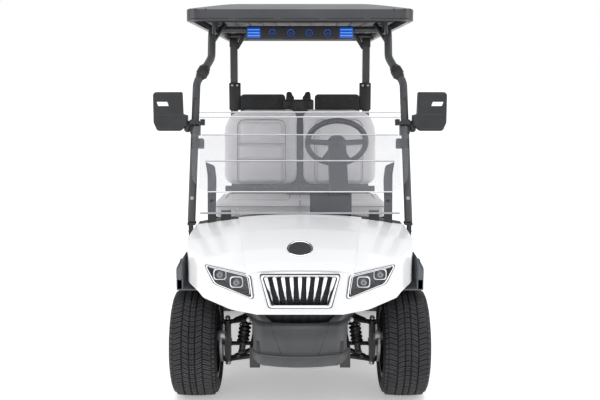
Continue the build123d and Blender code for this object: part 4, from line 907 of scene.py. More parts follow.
# ---------------------------------------------------------------- studio
@dataclass
class Studio:
    """The floor, the light and the camera."""

    camera_y: float = -5.357
    camera_z: float = 1.649
    camera_tilt: float = 82.02
    lens: float = 52.36
    floor_reach: float = 900.0
    floor_glow: float = 0.36
    sky: float = 0.64

    def build(self) -> None:
        """Makes all of it."""
        bpy.context.scene.view_settings.view_transform = "Standard"
        self.camera()
        self.floor()
        self.world()
        self.lamps()

    def camera(self) -> None:
        """Makes the camera, on the cart's middle and looking a little down."""
        data = bpy.data.cameras.new("camera")
        data.lens = self.lens
        data.sensor_width = 36.0
        camera = bpy.data.objects.new("camera", data)
        camera.location = (0.0, self.camera_y, self.camera_z)
        camera.rotation_euler = (math.radians(self.camera_tilt), 0.0, 0.0)
        bpy.context.scene.collection.objects.link(camera)
        bpy.context.scene.camera = camera

    def floor(self) -> None:
        """Makes the pale floor."""
        bm = bmesh.new()
        bmesh.ops.create_grid(bm, x_segments=2, y_segments=2, size=self.floor_reach)
        mesh = bpy.data.meshes.new("floor")
        bm.to_mesh(mesh)
        bm.free()
        floor = bpy.data.objects.new("floor", mesh)
        bpy.context.scene.collection.objects.link(floor)
        material = bpy.data.materials.new("floor")
        material.use_nodes = True
        shader = material.node_tree.nodes["Principled BSDF"]
        shader.inputs["Base Color"].default_value = (0.95, 0.95, 0.95, 1.0)
        shader.inputs["Roughness"].default_value = 0.75
        shader.inputs["Specular IOR Level"].default_value = 0.1
        shader.inputs["Emission Color"].default_value = (1.0, 1.0, 1.0, 1.0)
        tree = Tree(material.node_tree)
        place = tree.add("ShaderNodeTexCoord").outputs["Object"]
        reach = tree.add("ShaderNodeVectorMath", operation="LENGTH")
        tree.join(place, reach.inputs[0])
        fade = tree.add("ShaderNodeMapRange")
        tree.join(reach.outputs["Value"], fade.inputs["Value"])
        fade.inputs["From Min"].default_value = 1.6
        fade.inputs["From Max"].default_value = 7.0
        fade.inputs["To Min"].default_value = self.floor_glow
        fade.inputs["To Max"].default_value = 0.6
        tree.join(fade.outputs["Result"], shader.inputs["Emission Strength"])
        mesh.materials.append(material)

    def world(self) -> None:
        """Makes a plain pale surround that shows as white."""
        world = bpy.data.worlds.new("studio")
        world.use_nodes = True
        tree = Tree(world.node_tree)
        background = world.node_tree.nodes["Background"]
        background.inputs["Color"].default_value = (1.0, 1.0, 1.0, 1.0)
        ray = tree.add("ShaderNodeLightPath")
        seen = tree.math("MAXIMUM", ray.outputs["Is Camera Ray"],
                         tree.math("MULTIPLY", ray.outputs["Is Transmission Ray"], 1.0))
        level = tree.add("ShaderNodeMapRange")
        level.inputs["To Min"].default_value = self.sky
        level.inputs["To Max"].default_value = 1.0
        tree.join(seen, level.inputs["Value"])
        tree.join(level.outputs["Result"], background.inputs["Strength"])
        bpy.context.scene.world = world

    def lamps(self) -> None:
        """Makes a broad top light, a front light and two side strips."""
        self.panel("top_light", (0.0, -0.4, 5.2), (0.0, 0.0, 0.6), (5.0, 6.0), 228.0)
        self.panel("front_light", (0.0, -7.0, 3.8), (0.0, 0.0, 0.9), (5.0, 2.2), 26.0)
        for way in (-1, 1):
            self.panel(f"side_light_{way + 1}", (way * 5.0, -1.5, 2.4), (0.0, 0.0, 0.9), (1.6, 3.2), 30.0)

    def panel(self, name: str, place: Point, target: Point, size: tuple[float, float], power: float) -> None:
        """Makes one area light.

        Args:
            name: its name.
            place: where it stands.
            target: what it faces.
            size: its width and height.
            power: its power in watts.
        """
        data = bpy.data.lights.new(name, "AREA")
        data.shape = "RECTANGLE"
        data.size, data.size_y = size
        data.energy = power
        lamp = bpy.data.objects.new(name, data)
        lamp.location = place
        lamp.rotation_euler = (Vector(target) - Vector(place)).to_track_quat("-Z", "Y").to_euler()
        bpy.context.scene.collection.objects.link(lamp)


# ---------------------------------------------------------------- tyres and wheels
@dataclass
class TyreTread:
    """A road tyre: a bulged carcass with five ribs of sliced blocks between zigzag grooves."""

    radius: float = 0.2795
    groove_floor: float = 0.2705
    crown_drop: float = 0.55          # fall of the tread, in metres per square metre across
    pitches: int = 64
    gap: float = 0.0062
    slice_gap: float = 0.0024
    round_edge: float = 0.001
    ribs: tuple[tuple[float, float, float], ...] = (
        (0.0, 0.022, 0.0), (0.033, 0.029, 0.5), (0.0745, 0.039, -0.36))
    sink: float = 0.004

    def carcass(self) -> list[tuple[float, float]]:
        """Returns the carcass's outline, as (across, radius), with walls that bulge over the rim."""
        half = [(0.0, self.groove_floor), (0.06, self.groove_floor - 0.0012),
                (0.094, self.groove_floor - 0.0055),
                (0.107, 0.259), (0.115, 0.247), (0.1188, 0.232), (0.118, 0.217), (0.113, 0.204),
                (0.106, 0.196), (0.0995, 0.1912), (0.099, 0.1786)]
        return half + [(-across, up) for across, up in reversed(half[1:])]

    def wrap(self, verts: list) -> None:
        """Bends flat tread pieces round the tyre.

        Args:
            verts: vertices as (across, along the rolling direction, height over the groove floor).
        """
        for vert in verts:
            across, along, height = vert.co
            angle = along / self.radius
            up = self.groove_floor + height - self.crown_drop * across * across
            vert.co = (up * math.cos(angle), up * math.sin(angle), across)

    def slab(self, shape: Shape, across: float, width: float, along: float, length: float, slant: float,
             height: float) -> None:
        """Adds one slanted slice of a tread block, lying flat.

        Args:
            shape: what it is added to.
            across: its middle, across the tread.
            width: its width.
            along: its middle, along the tread.
            length: its length.
            slant: how far it leans along the tread, per unit across.
            height: its height over the groove floor.
        """
        before = set(shape.bm.verts)
        shape.block((across, along, (height - self.sink) / 2), (width, length, height + self.sink),
                    self.round_edge, 1)
        for vert in shape.bm.verts:
            if vert not in before:
                vert.co.y += (vert.co.x - across) * slant

    def build(self) -> tuple[bpy.types.Mesh, bpy.types.Mesh]:
        """Returns the meshes of the tread and the carcass about the origin, with their axle along X."""
        pitch = math.tau * self.radius / self.pitches
        tread = Shape()
        height = self.radius - self.groove_floor
        for across, width, slant in self.ribs:
            length = (pitch - self.gap - self.slice_gap) / 2
            for way in ((1,) if across == 0 else (1, -1)):
                shift = 0.0 if across == 0 else (0.35 if across < 0.05 else 0.0) * pitch
                for part in (-1, 1):
                    along = shift + part * (length + self.slice_gap) / 2
                    if across == 0:
                        for side in (-1, 1):
                            self.slab(tread, side * width / 4, width / 2 - 0.0004, along + pitch * 0.1,
                                      length,
                                      side * 0.45, height)
                    else:
                        self.slab(tread, way * across, width, along, length, way * slant, height)
        for way in (1, -1):
            before = set(tread.bm.verts)
            tread.block((way * 0.1035, 0.0, -0.0045), (0.012, pitch - self.gap * 1.3, 0.01), 0.0012, 1)
            for vert in tread.bm.verts:
                if vert not in before:
                    vert.co.z -= (abs(vert.co.x) - 0.098) * 0.35
        self.wrap(tread.bm.verts)
        tread.spun(self.pitches, (0, 0, 0), (0, 0, 1))
        case = Shape()
        case.ring(self.carcass(), (0, 0, 0), (0, 0, 1), 120)
        for way in (1, -1):
            for across, up in ((0.1186, 0.2265), (0.1168, 0.2105)):
                case.ring([(way * (across - 0.003), up - 0.0016), (way * (across + 0.001), up - 0.0008),
                           (way * (across + 0.001), up + 0.0008), (way * (across - 0.003), up + 0.0016)],
                          (0, 0, 0), (0, 0, 1), 96)
        turn = Vector((0, 0, 1)).rotation_difference(Vector((1, 0, 0))).to_matrix().to_4x4()
        made = []
        for shape, name in ((tread, "tread"), (case, "carcass")):
            bmesh.ops.transform(shape.bm, matrix=turn, verts=shape.bm.verts)
            bmesh.ops.recalc_face_normals(shape.bm, faces=shape.bm.faces)
            mesh = bpy.data.meshes.new(name)
            shape.bm.to_mesh(mesh)
            shape.bm.free()
            made.append(mesh)
        return made[0], made[1]


@dataclass
class RoadWheel:
    """The dress of one wheel: lug nuts, cap, bright spoke faces, valve and disc rotor."""

    spoke_face: float = 0.0463
    spokes: int = 10
    face_in: float = 0.068
    face_out: float = 0.154
    cap_radius: float = 0.036
    lug_circle: float = 0.0555
    lugs: int = 5
    disc_in: float = 0.134

    def build(self, end: str, hand: str, tyre: tuple[bpy.types.Mesh, bpy.types.Mesh]) -> None:
        """Makes the pieces of one wheel.

        Args:
            end: front or rear.
            hand: left or right.
            tyre: the shared meshes of tread and carcass.
        """
        way = 1.0 if hand == "left" else -1.0
        centre = Vector((way * TRACK_HALF, FRONT_AXLE_Y if end == "front" else REAR_AXLE_Y, HUB_Z))
        body = f"{end}_{hand}_wheel"
        # The carcass takes the tyre's painted shade finish, darker than the tread.
        for source, name, finish in zip(tyre, ("tread", "carcass"), (Finishes.TYRE, Finishes.TYRE_CASE_SHADE)):
            mesh = source.copy()
            if way < 0:
                mesh.transform(Matrix.Rotation(math.pi, 4, "Z"))
            mesh.transform(Matrix.Translation(centre))
            as_piece(f"{name}_{end}_{hand}", mesh, finish, body, 40.0, (f"tyre_{end}_{hand}",))
        PAINT.dress_node(f"wheel_{end}_{hand}", Finishes.RIM)
        self.spoke_faces(body, f"{end}_{hand}", centre, way)
        self.hardware(body, f"{end}_{hand}", centre, way)
        self.brake(body, f"{end}_{hand}", centre, way, end == "front")

    def spoke_faces(self, body: str, label: str, centre: Vector, way: float) -> None:
        """Makes the turned bright faces of the spokes and the rim's bright lip.

        Args:
            body: the wheel's body.
            label: the wheel's name.
            centre: its centre.
            way: +1 on the left.
        """
        faces = Shape()
        half_gap = math.pi / self.spokes * 0.62
        thin = math.pi / self.spokes - half_gap
        outline = []
        for radius, share in ((self.face_in, 0.8), (0.11, 0.74), (self.face_out, 0.84)):
            outline.append((radius, radius * math.tan(thin) * share))
        outline = rounded(outline + [(u, -v) for u, v in reversed(outline)], 0.004)
        faces.plate(outline, 0.0012, Matrix.Identity(4), 0.0004, 1)
        bmesh.ops.rotate(faces.bm, cent=(0, 0, 0), matrix=Matrix.Rotation(math.pi / self.spokes, 3, "Z"),
                         verts=faces.bm.verts)
        faces.spun(self.spokes, (0, 0, 0), (0, 0, 1))
        faces.ring([(0.0, 0.045), (0.0012, 0.0455), (0.0012, 0.0505), (0.0, 0.051)], (0, 0, 0), (0, 0, 1),
                   72)
        lip = TRACK_HALF + 0.1072 - (TRACK_HALF + self.spoke_face)
        faces.ring([(lip - 0.0068, 0.1895), (lip, 0.188), (lip, 0.18), (lip - 0.01, 0.17),
                    (lip - 0.012, 0.1694),
                    (lip - 0.012, 0.1685), (lip - 0.0095, 0.1683), (lip + 0.0008, 0.179),
                    (lip + 0.0008, 0.1885)],
                   (0, 0, 0), (0, 0, 1), 96)
        turn = Vector((0, 0, 1)).rotation_difference(Vector((way, 0, 0))).to_matrix().to_4x4()
        bmesh.ops.transform(faces.bm, matrix=turn, verts=faces.bm.verts)
        bmesh.ops.translate(faces.bm, vec=centre + Vector((way * self.spoke_face, 0, 0)),
                            verts=faces.bm.verts)
        faces.piece(f"spoke_faces_{label}", Finishes.SMOKED_CHROME, body)

    def hardware(self, body: str, label: str, centre: Vector, way: float) -> None:
        """Makes the lug nuts, the cap and the valve.

        Args:
            body: the wheel's body.
            label: the wheel's name.
            centre: its centre.
            way: +1 on the left.
        """
        nuts = Shape()
        out = Vector((way, 0, 0))
        face = centre + out * self.spoke_face
        add_bolt(nuts, Bolt.M10, face + Vector((0, 0, self.lug_circle)), out)
        nuts.spun(self.lugs, face, (1, 0, 0))
        nuts.piece(f"lug_nuts_{label}", Finishes.STEEL, body)
        cap = Shape()
        seat = face + out * 0.0118
        cap.ring([(0.0, 0.0), (0.0055, 0.0), (0.0055, 0.012), (0.0048, 0.022), (0.003, 0.031),
                  (0.0, self.cap_radius),
                  (-0.001, self.cap_radius)], seat, out, 48, closed=False)
        cap.ring([(0.0052, 0.0135), (0.0066, 0.0145), (0.0062, 0.0185), (0.004, 0.0195)], seat, out, 48)
        cap.piece(f"hub_cap_{label}", Finishes.SMOKED_CHROME, body)
        valve = Shape()
        base = face + Vector((way * 0.02, 0, 0.158))
        valve.bar(base + Vector((0, 0, 0.008)), base + Vector((way * 0.024, 0, -0.004)), 0.0038, 12, 0.0006)
        valve.bar(base + Vector((way * 0.022, 0, -0.003)), base + Vector((way * 0.034, 0, -0.009)), 0.0046,
                  12, 0.0008)
        valve.piece(f"valve_{label}", Finishes.BLACK_PLASTIC, body)

    def brake(self, body: str, label: str, centre: Vector, way: float, disc: bool) -> None:
        """Makes the brake's bright rubbing faces, or the drum's cooling rings.

        Args:
            body: the wheel's body.
            label: the wheel's name.
            centre: its centre.
            way: +1 on the left.
            disc: whether it is a disc.
        """
        rotor = Shape()
        face = centre - Vector((way * self.disc_in, 0, 0))
        inward = Vector((-way, 0, 0))
        if disc:
            rotor.ring([(0.0, 0.064), (0.0012, 0.066), (0.0012, 0.104), (0.0, 0.1052), (-0.0112, 0.1052),
                        (-0.0112, 0.064)], face, inward, 72)
            rotor.piece(f"rotor_{label}", Finishes.STEEL, body)
            return
        for place in range(5):
            along = -0.008 - place * 0.011
            rotor.ring([(along, 0.104), (along, 0.1082), (along - 0.004, 0.1082), (along - 0.004, 0.104)],
                       face, inward, 72)
        rotor.piece(f"drum_ribs_{label}", Finishes.BLACK_METAL, body)


@dataclass
class RunningGear:
    """The suspension's fasteners, springs and brake calipers."""

    kingpin_x: float = 0.378
    upper_z: float = 0.393
    lower_z: float = 0.173

    def build(self) -> None:
        """Dresses the steel parts and adds what is bolted to them."""
        for node in ("chassis_rails", "crossmembers", "front_subframe", "wishbones", "rear_axle",
                     "rear_suspension",
                     "front_dampers"):
            PAINT.dress_node(node, Finishes.BLACK_METAL)
        for node in ("knuckle_left", "knuckle_right", "tie_rods"):
            PAINT.dress_node(node, Finishes.BLACK_METAL)
        self.ball_joints()
        self.coils()
        self.calipers()
        self.gaiters()
        self.axle_bolts()

    def ball_joints(self) -> None:
        """Makes the bright bolts at the arms' outer and inner ends."""
        joints = Shape()
        for z, up in ((self.upper_z + 0.0085, 1), (self.lower_z - 0.0065, -1)):
            joints.bar((self.kingpin_x, FRONT_AXLE_Y, z - up * 0.004),
                       (self.kingpin_x, FRONT_AXLE_Y, z + up * 0.006),
                       0.0135, 24, 0.0015)
            add_bolt(joints, Bolt.M12, (self.kingpin_x, FRONT_AXLE_Y, z + up * 0.006), (0, 0, up))
        for across, z, y in ((0.262, 0.418, 0.07), (0.204, 0.232, 0.084)):
            for way in (1, -1):
                place = Vector((across, behind(way * y), z))
                joints.bar(place - Vector((0, way * 0.004, 0)), place + Vector((0, way * 0.016, 0)), 0.0125,
                           20, 0.001)
                add_bolt(joints, Bolt.M10, place + Vector((0, way * 0.016, 0)), (0, way, 0))
        joints.mirrored().piece("ball_joints", Finishes.STEEL)

    def coils(self) -> None:
        """Makes the springs' wire round each damper."""
        foot = Vector((0.306, FRONT_AXLE_Y, 0.23))
        head = Vector((0.269, FRONT_AXLE_Y, 0.478))
        line = head - foot
        turns = 7
        side = Vector((0, 1, 0))
        other = line.normalized().cross(side)
        path = []
        steps = turns * 16
        for step in range(steps + 1):
            angle = math.tau * turns * step / steps
            along = foot + line * (0.14 + 0.6 * step / steps)
            path.append(tuple(along + (side * math.cos(angle) + other * math.sin(angle)) * 0.0295))
        spring = Shape()
        spring.hose(path, 0.0042, 8)
        spring.mirrored().piece("spring_wire", Finishes.BLACK_METAL)

    def calipers(self) -> None:
        """Makes a brake caliper on each knuckle, over the disc's rear edge."""
        for hand, way in (("left", 1.0), ("right", -1.0)):
            caliper = Shape()
            x = way * (TRACK_HALF - 0.129)
            turn = Matrix.Rotation(math.radians(-28.0), 3, "X")
            for side in (-1, 1):
                caliper.block((x + way * side * 0.017, behind(-0.074), HUB_Z + 0.05), (0.02, 0.066, 0.04),
                              0.005,
                              2, turn)
            caliper.block((x, behind(-0.1), HUB_Z + 0.064), (0.05, 0.016, 0.036), 0.004, 2, turn)
            caliper.block((x - way * 0.02, behind(-0.035), HUB_Z + 0.022), (0.014, 0.06, 0.022), 0.004, 2,
                          turn)
            caliper.piece(f"caliper_{hand}", Finishes.STEEL, f"knuckle_{hand}_body")

    def gaiters(self) -> None:
        """Makes the rubber bellows on the rack's ends."""
        gaiter = Shape()
        profile = []
        folds = 7
        for fold in range(folds):
            profile.append((fold * 0.009, 0.0235))
            profile.append((fold * 0.009 + 0.0045, 0.0165))
        profile += [(folds * 0.009, 0.0125), (folds * 0.009 + 0.006, 0.012), (folds * 0.009 + 0.006, 0.0114),
                    (0.0, 0.0114)]
        gaiter.ring(profile, (0.15, behind(0.12), 0.23), (1, 0, 0), 32)
        gaiter.mirrored().piece("rack_gaiters", Finishes.RUBBER)

    def axle_bolts(self) -> None:
        """Makes the U-bolts of the rear springs and the cover bolts of the differential."""
        bolts = Shape()
        for y in (-0.026, 0.026):
            for x in (0.302, 0.343):
                bolts.bar((x, REAR_AXLE_Y + y * 1.6, 0.212), (x, REAR_AXLE_Y + y * 1.6, 0.322), 0.005, 12,
                          0.001)
        bolts.block((0.3225, REAR_AXLE_Y, 0.3195), (0.062, 0.1, 0.008), 0.002)
        bolts.block((0.3225, REAR_AXLE_Y, 0.215), (0.062, 0.1, 0.008), 0.002)
        bolts.mirrored()
        for place in range(8):
            angle = math.tau * place / 8
            add_bolt(bolts, Bolt.M8,
                     (-0.05, REAR_AXLE_Y + 0.078 * math.cos(angle), HUB_Z + 0.078 * math.sin(angle)),
                     (-1, 0, 0))
        bolts.piece("spring_clamps", Finishes.STEEL)


# ---------------------------------------------------------------- nose, lamps and bumper
@dataclass
class Nose:
    """The white front body with its badge, grille dress and seams."""

    nose_y: float = behind(-0.49)
    badge_y: float = behind(-0.285)
    badge_z: float = 0.829
    badge_across: float = 0.0635
    badge_up: float = 0.076
    grille_top: float = 0.748
    grille_bottom: float = 0.591
    grille_top_half: float = 0.185
    grille_bottom_half: float = 0.144
    bars: int = 9

    def build(self) -> None:
        """Makes the nose's pieces."""
        smooth_copy("front_cowl", "nose_body", Finishes.BODY_WHITE, 24.0, 0.0012, True)
        PAINT.dress_node("grille", Finishes.BLACK_PLASTIC)
        self.badge()
        self.grille_frame()
        self.grille_bars()
        self.behind_grille()

    def badge(self) -> None:
        """Makes the bare oval badge: a dark dish in a bright ring."""
        plane = plane_at((0, self.badge_y, self.badge_z), (1, 0, 0), (0, 0.953, 0.302))
        for name, finish, outline in (
                ("badge_ring", Finishes.CHROME, [(-0.002, 1.0), (0.003, 1.0), (0.0042, 0.955), (0.004, 0.9),
                                                 (0.002, 0.87), (-0.002, 0.87)]),
                ("badge_dish", Finishes.BLACK_PLASTIC, [(-0.002, 0.885), (0.0022, 0.885), (0.0012, 0.6),
                                                        (0.0026, 0.3), (0.003, 0.0)])):
            shape = Shape()
            shape.ring([(along, radius) for along, radius in outline], (0, 0, 0), (0, 0, 1), 72,
                       closed=name == "badge_ring")
            bmesh.ops.scale(shape.bm, vec=(self.badge_across, self.badge_up, 1.0), verts=shape.bm.verts)
            bmesh.ops.transform(shape.bm, matrix=plane, verts=shape.bm.verts)
            shape.piece(name, finish, angle=50.0)

    def trapezoid(self, inset: float) -> list[tuple[float, float]]:
        """Returns the grille's outline, moved inwards."""
        top = self.grille_top_half - inset
        low = self.grille_bottom_half - inset
        return [(-low, self.grille_bottom + inset), (low, self.grille_bottom + inset),
                (top, self.grille_top - inset), (-top, self.grille_top - inset)]

    def grille_frame(self) -> None:
        """Makes the bright frame round the grille."""
        frame_shape = Shape()
        steps = [(0.0, 0.0), (0.0005, 0.0075), (0.003, 0.0095), (0.0075, 0.0095), (0.01, 0.007),
                 (0.0105, 0.0)]
        loops = []
        for inset, out in steps:
            corners = rounded(self.trapezoid(inset), 0.014, 4)
            loops.append([(u, self.nose_y - out, v) for u, v in corners])
        frame_shape.banded(loops)
        frame_shape.piece("grille_frame", Finishes.CHROME, angle=40.0)
        lines = Shape()
        for steps in (((-0.004, 0.0), (-0.004, 0.003), (0.0, 0.004), (0.0, 0.0)),
                      ((0.0103, 0.0005), (0.0103, 0.005), (0.014, 0.0035), (0.014, 0.0005))):
            lines.banded([[(u, self.nose_y - out, v) for u, v in rounded(self.trapezoid(inset), 0.014, 4)]
                          for inset, out in steps])
        lines.piece("grille_lines", Finishes.BLACK_PLASTIC, angle=40.0)

    def grille_bars(self) -> None:
        """Makes the bright upright blades, broad above and narrow below, with a ridge down each."""
        blades = Shape()
        for place in range(self.bars):
            share = (place - (self.bars - 1) / 2) / ((self.bars - 1) / 2)
            low = Vector((share * 0.1235, self.nose_y, self.grille_bottom + 0.01))
            high = Vector((share * 0.1595, self.nose_y, self.grille_top - 0.011))
            levels = [(0.0, 0.0036), (0.12, 0.004), (0.45, 0.005), (0.62, 0.008), (0.8, 0.0092),
                      (1.0, 0.0094)]
            rows = []
            for share_up, half in levels:
                middle = low.lerp(high, share_up)
                ridge = 0.0078 - 0.003 * share_up
                rows.append([blades.bm.verts.new(middle + Vector(offset)) for offset in
                             ((-half, 0.004, 0), (-half * 0.9, -0.002, 0), (0, -ridge, 0),
                              (half * 0.9, -0.002, 0),
                              (half, 0.004, 0))])
            for lower, upper in zip(rows, rows[1:]):
                for k in range(5):
                    blades.bm.faces.new((lower[k - 1], lower[k], upper[k], upper[k - 1]))
            blades.bm.faces.new(rows[0])
            blades.bm.faces.new(rows[-1])
        blades.piece("grille_blades", Finishes.CHROME, angle=25.0)

    def behind_grille(self) -> None:
        """Makes the dark honeycomb behind the blades."""
        mesh_shape = Shape()
        for row in range(11):
            z = self.grille_bottom + 0.014 + row * 0.0128
            half = self.grille_bottom_half + (z - self.grille_bottom) * 0.26 - 0.012
            mesh_shape.block((0, self.nose_y + 0.0175, z), (2 * half, 0.006, 0.0022), 0.0005, 1)
        mesh_shape.piece("grille_slats", Finishes.BLACK_PLASTIC)


@dataclass
class Headlamp:
    """A pair of lamps: clear cover, dark bowl, bright rims and two projectors each."""

    top_out: tuple[float, float] = (0.462, 0.756)
    top_in: tuple[float, float] = (0.232, 0.741)
    low_in: tuple[float, float] = (0.217, 0.628)
    low_out: tuple[float, float] = (0.414, 0.67)
    nose_y: float = behind(-0.49)

    def skin_y(self, x: float) -> float:
        """Returns the Y of the cowl's skin where it passes the lamp, at that X."""
        along = (abs(x) - 0.2) / (0.47 - 0.2)
        return behind(-0.49 + 0.19 * max(0.0, along))

    def outline(self, inset: float) -> list[tuple[float, float]]:
        """Returns the lamp's outline, moved inwards towards its middle."""
        corners = [Vector(c) for c in (self.low_in, self.low_out, self.top_out, self.top_in)]
        middle = sum(corners, Vector((0, 0))) / 4
        return [tuple(c + (middle - c).normalized() * inset) for c in corners]

    def bead(self, shape: Shape, inset: float, depth: float, width: float, height: float) -> None:
        """Adds a closed bead along the lamp's outline.

        Args:
            shape: what it is added to.
            inset: how far inside the outline it runs.
            depth: how far behind the skin it lies.
            width: its width.
            height: its height towards the front.
        """
        loops = []
        for step_in, out in ((0.0, 0.0), (0.0, height), (width, height), (width, 0.0)):
            corners = rounded(self.outline(inset + step_in), 0.018, 5)
            loops.append([(u, self.skin_y(u) + depth - out, v) for u, v in corners])
        shape.banded(loops)

    def panel(self, shape: Shape, inset: float, depth: float, thick: float) -> None:
        """Adds a sheet across the lamp, along the skin.

        Args:
            shape: what it is added to.
            inset: how far inside the outline it ends.
            depth: how far behind the skin its face lies.
            thick: its thickness.
        """
        corners = rounded(self.outline(inset), 0.016, 5)
        front = [shape.bm.verts.new((u, self.skin_y(u) + depth, v)) for u, v in corners]
        back = [shape.bm.verts.new((u, self.skin_y(u) + depth + thick, v)) for u, v in corners]
        shape.bm.faces.new(front)
        shape.bm.faces.new(back)
        for k in range(len(front)):
            shape.bm.faces.new((front[k - 1], front[k], back[k], back[k - 1]))

    def build(self) -> None:
        """Makes both lamps."""
        PAINT.dress_node("headlamps", Finishes.LENS)
        bowl = Shape()
        self.panel(bowl, 0.004, 0.03, 0.004)
        self.bead(bowl, 0.004, 0.032, 0.012, 0.018)
        for share in (0.18, 0.82):
            low = Vector(self.low_in).lerp(Vector(self.low_out), share)
            bowl.block((low.x, self.skin_y(low.x) + 0.024, low.y + 0.012), (0.05, 0.01, 0.012), 0.003)
        bowl.mirrored().piece("lamp_bowls", Finishes.BLACK_PLASTIC)
        rim = Shape()
        self.bead(rim, 0.0015, 0.004, 0.007, 0.0085)
        self.bead(rim, 0.016, 0.024, 0.0035, 0.006)
        rim.mirrored().piece("lamp_rims", Finishes.CHROME)
        line = Shape()
        self.bead(line, -0.003, 0.003, 0.0045, 0.008)
        line.mirrored().piece("lamp_outlines", Finishes.BLACK_PLASTIC)
        self.projectors()
        blade = Shape()
        start, end = Vector(self.top_in).lerp(Vector(self.top_out), 0.05), Vector(self.top_in).lerp(
            Vector(self.top_out), 0.93)
        self.strip(blade, start + Vector((0, -0.013)), end + Vector((-0.006, -0.01)), 0.0045, 0.012)
        blade.mirrored().piece("lamp_light_blades", Finishes.LAMP_WHITE)

    def strip(self, shape: Shape, start: Vector, end: Vector, height: float, depth: float) -> None:
        """Adds a thin strip that follows the skin.

        Args:
            shape: what it is added to.
            start: its inner end, as X and Z.
            end: its outer end.
            height: its height.
            depth: how far behind the skin it lies.
        """
        length = (end - start).length
        middle = (start + end) / 2
        slope = math.atan2(end.y - start.y, end.x - start.x)
        sweep = math.atan2(self.skin_y(end.x) - self.skin_y(start.x), end.x - start.x)
        turn = Matrix.Rotation(sweep, 3, "Z") @ Matrix.Rotation(-slope * math.cos(sweep), 3, "Y")
        shape.block((middle.x, self.skin_y(middle.x) + depth, middle.y),
                    (length / math.cos(sweep), 0.005, height),
                    0.0015, 2, turn)

    def projectors(self) -> None:
        """Makes the four projector lenses, each in a squared bright ring round a dark shade."""
        bright = Shape()
        dark = Shape()
        glass = Shape()
        for x, z in ((0.383, 0.717), (0.3, 0.693)):
            y = self.skin_y(x) + 0.01
            seat = plane_at((x, y + 0.012, z), (1, 0, 0), (0, 0, 1))
            half_u, half_v = 0.0315, 0.027
            for shape, grow, thick in ((bright, 0.0, 0.014), (dark, -0.0045, 0.016)):
                corners = [(-half_u - grow, -half_v - grow), (half_u + grow, -half_v - grow),
                           (half_u + grow, half_v + grow), (-half_u - grow, half_v + grow)]
                shape.plate(rounded(corners, 0.017, 4), thick, seat, 0.0015, 2)
            glass.ring([(0.014, 0.0), (0.0175, 0.006), (0.018, 0.011), (0.016, 0.0165), (0.012, 0.0195),
                        (0.008, 0.02)], (x, y + 0.012, z), (0, -1, 0), 40, closed=False)
        bright.mirrored().piece("projector_rims", Finishes.LAMP_WHITE)
        dark.mirrored().piece("projector_shades", Finishes.BLACK_PLASTIC)
        glass.mirrored().piece("projector_lenses", Finishes.SMOKED_CHROME)


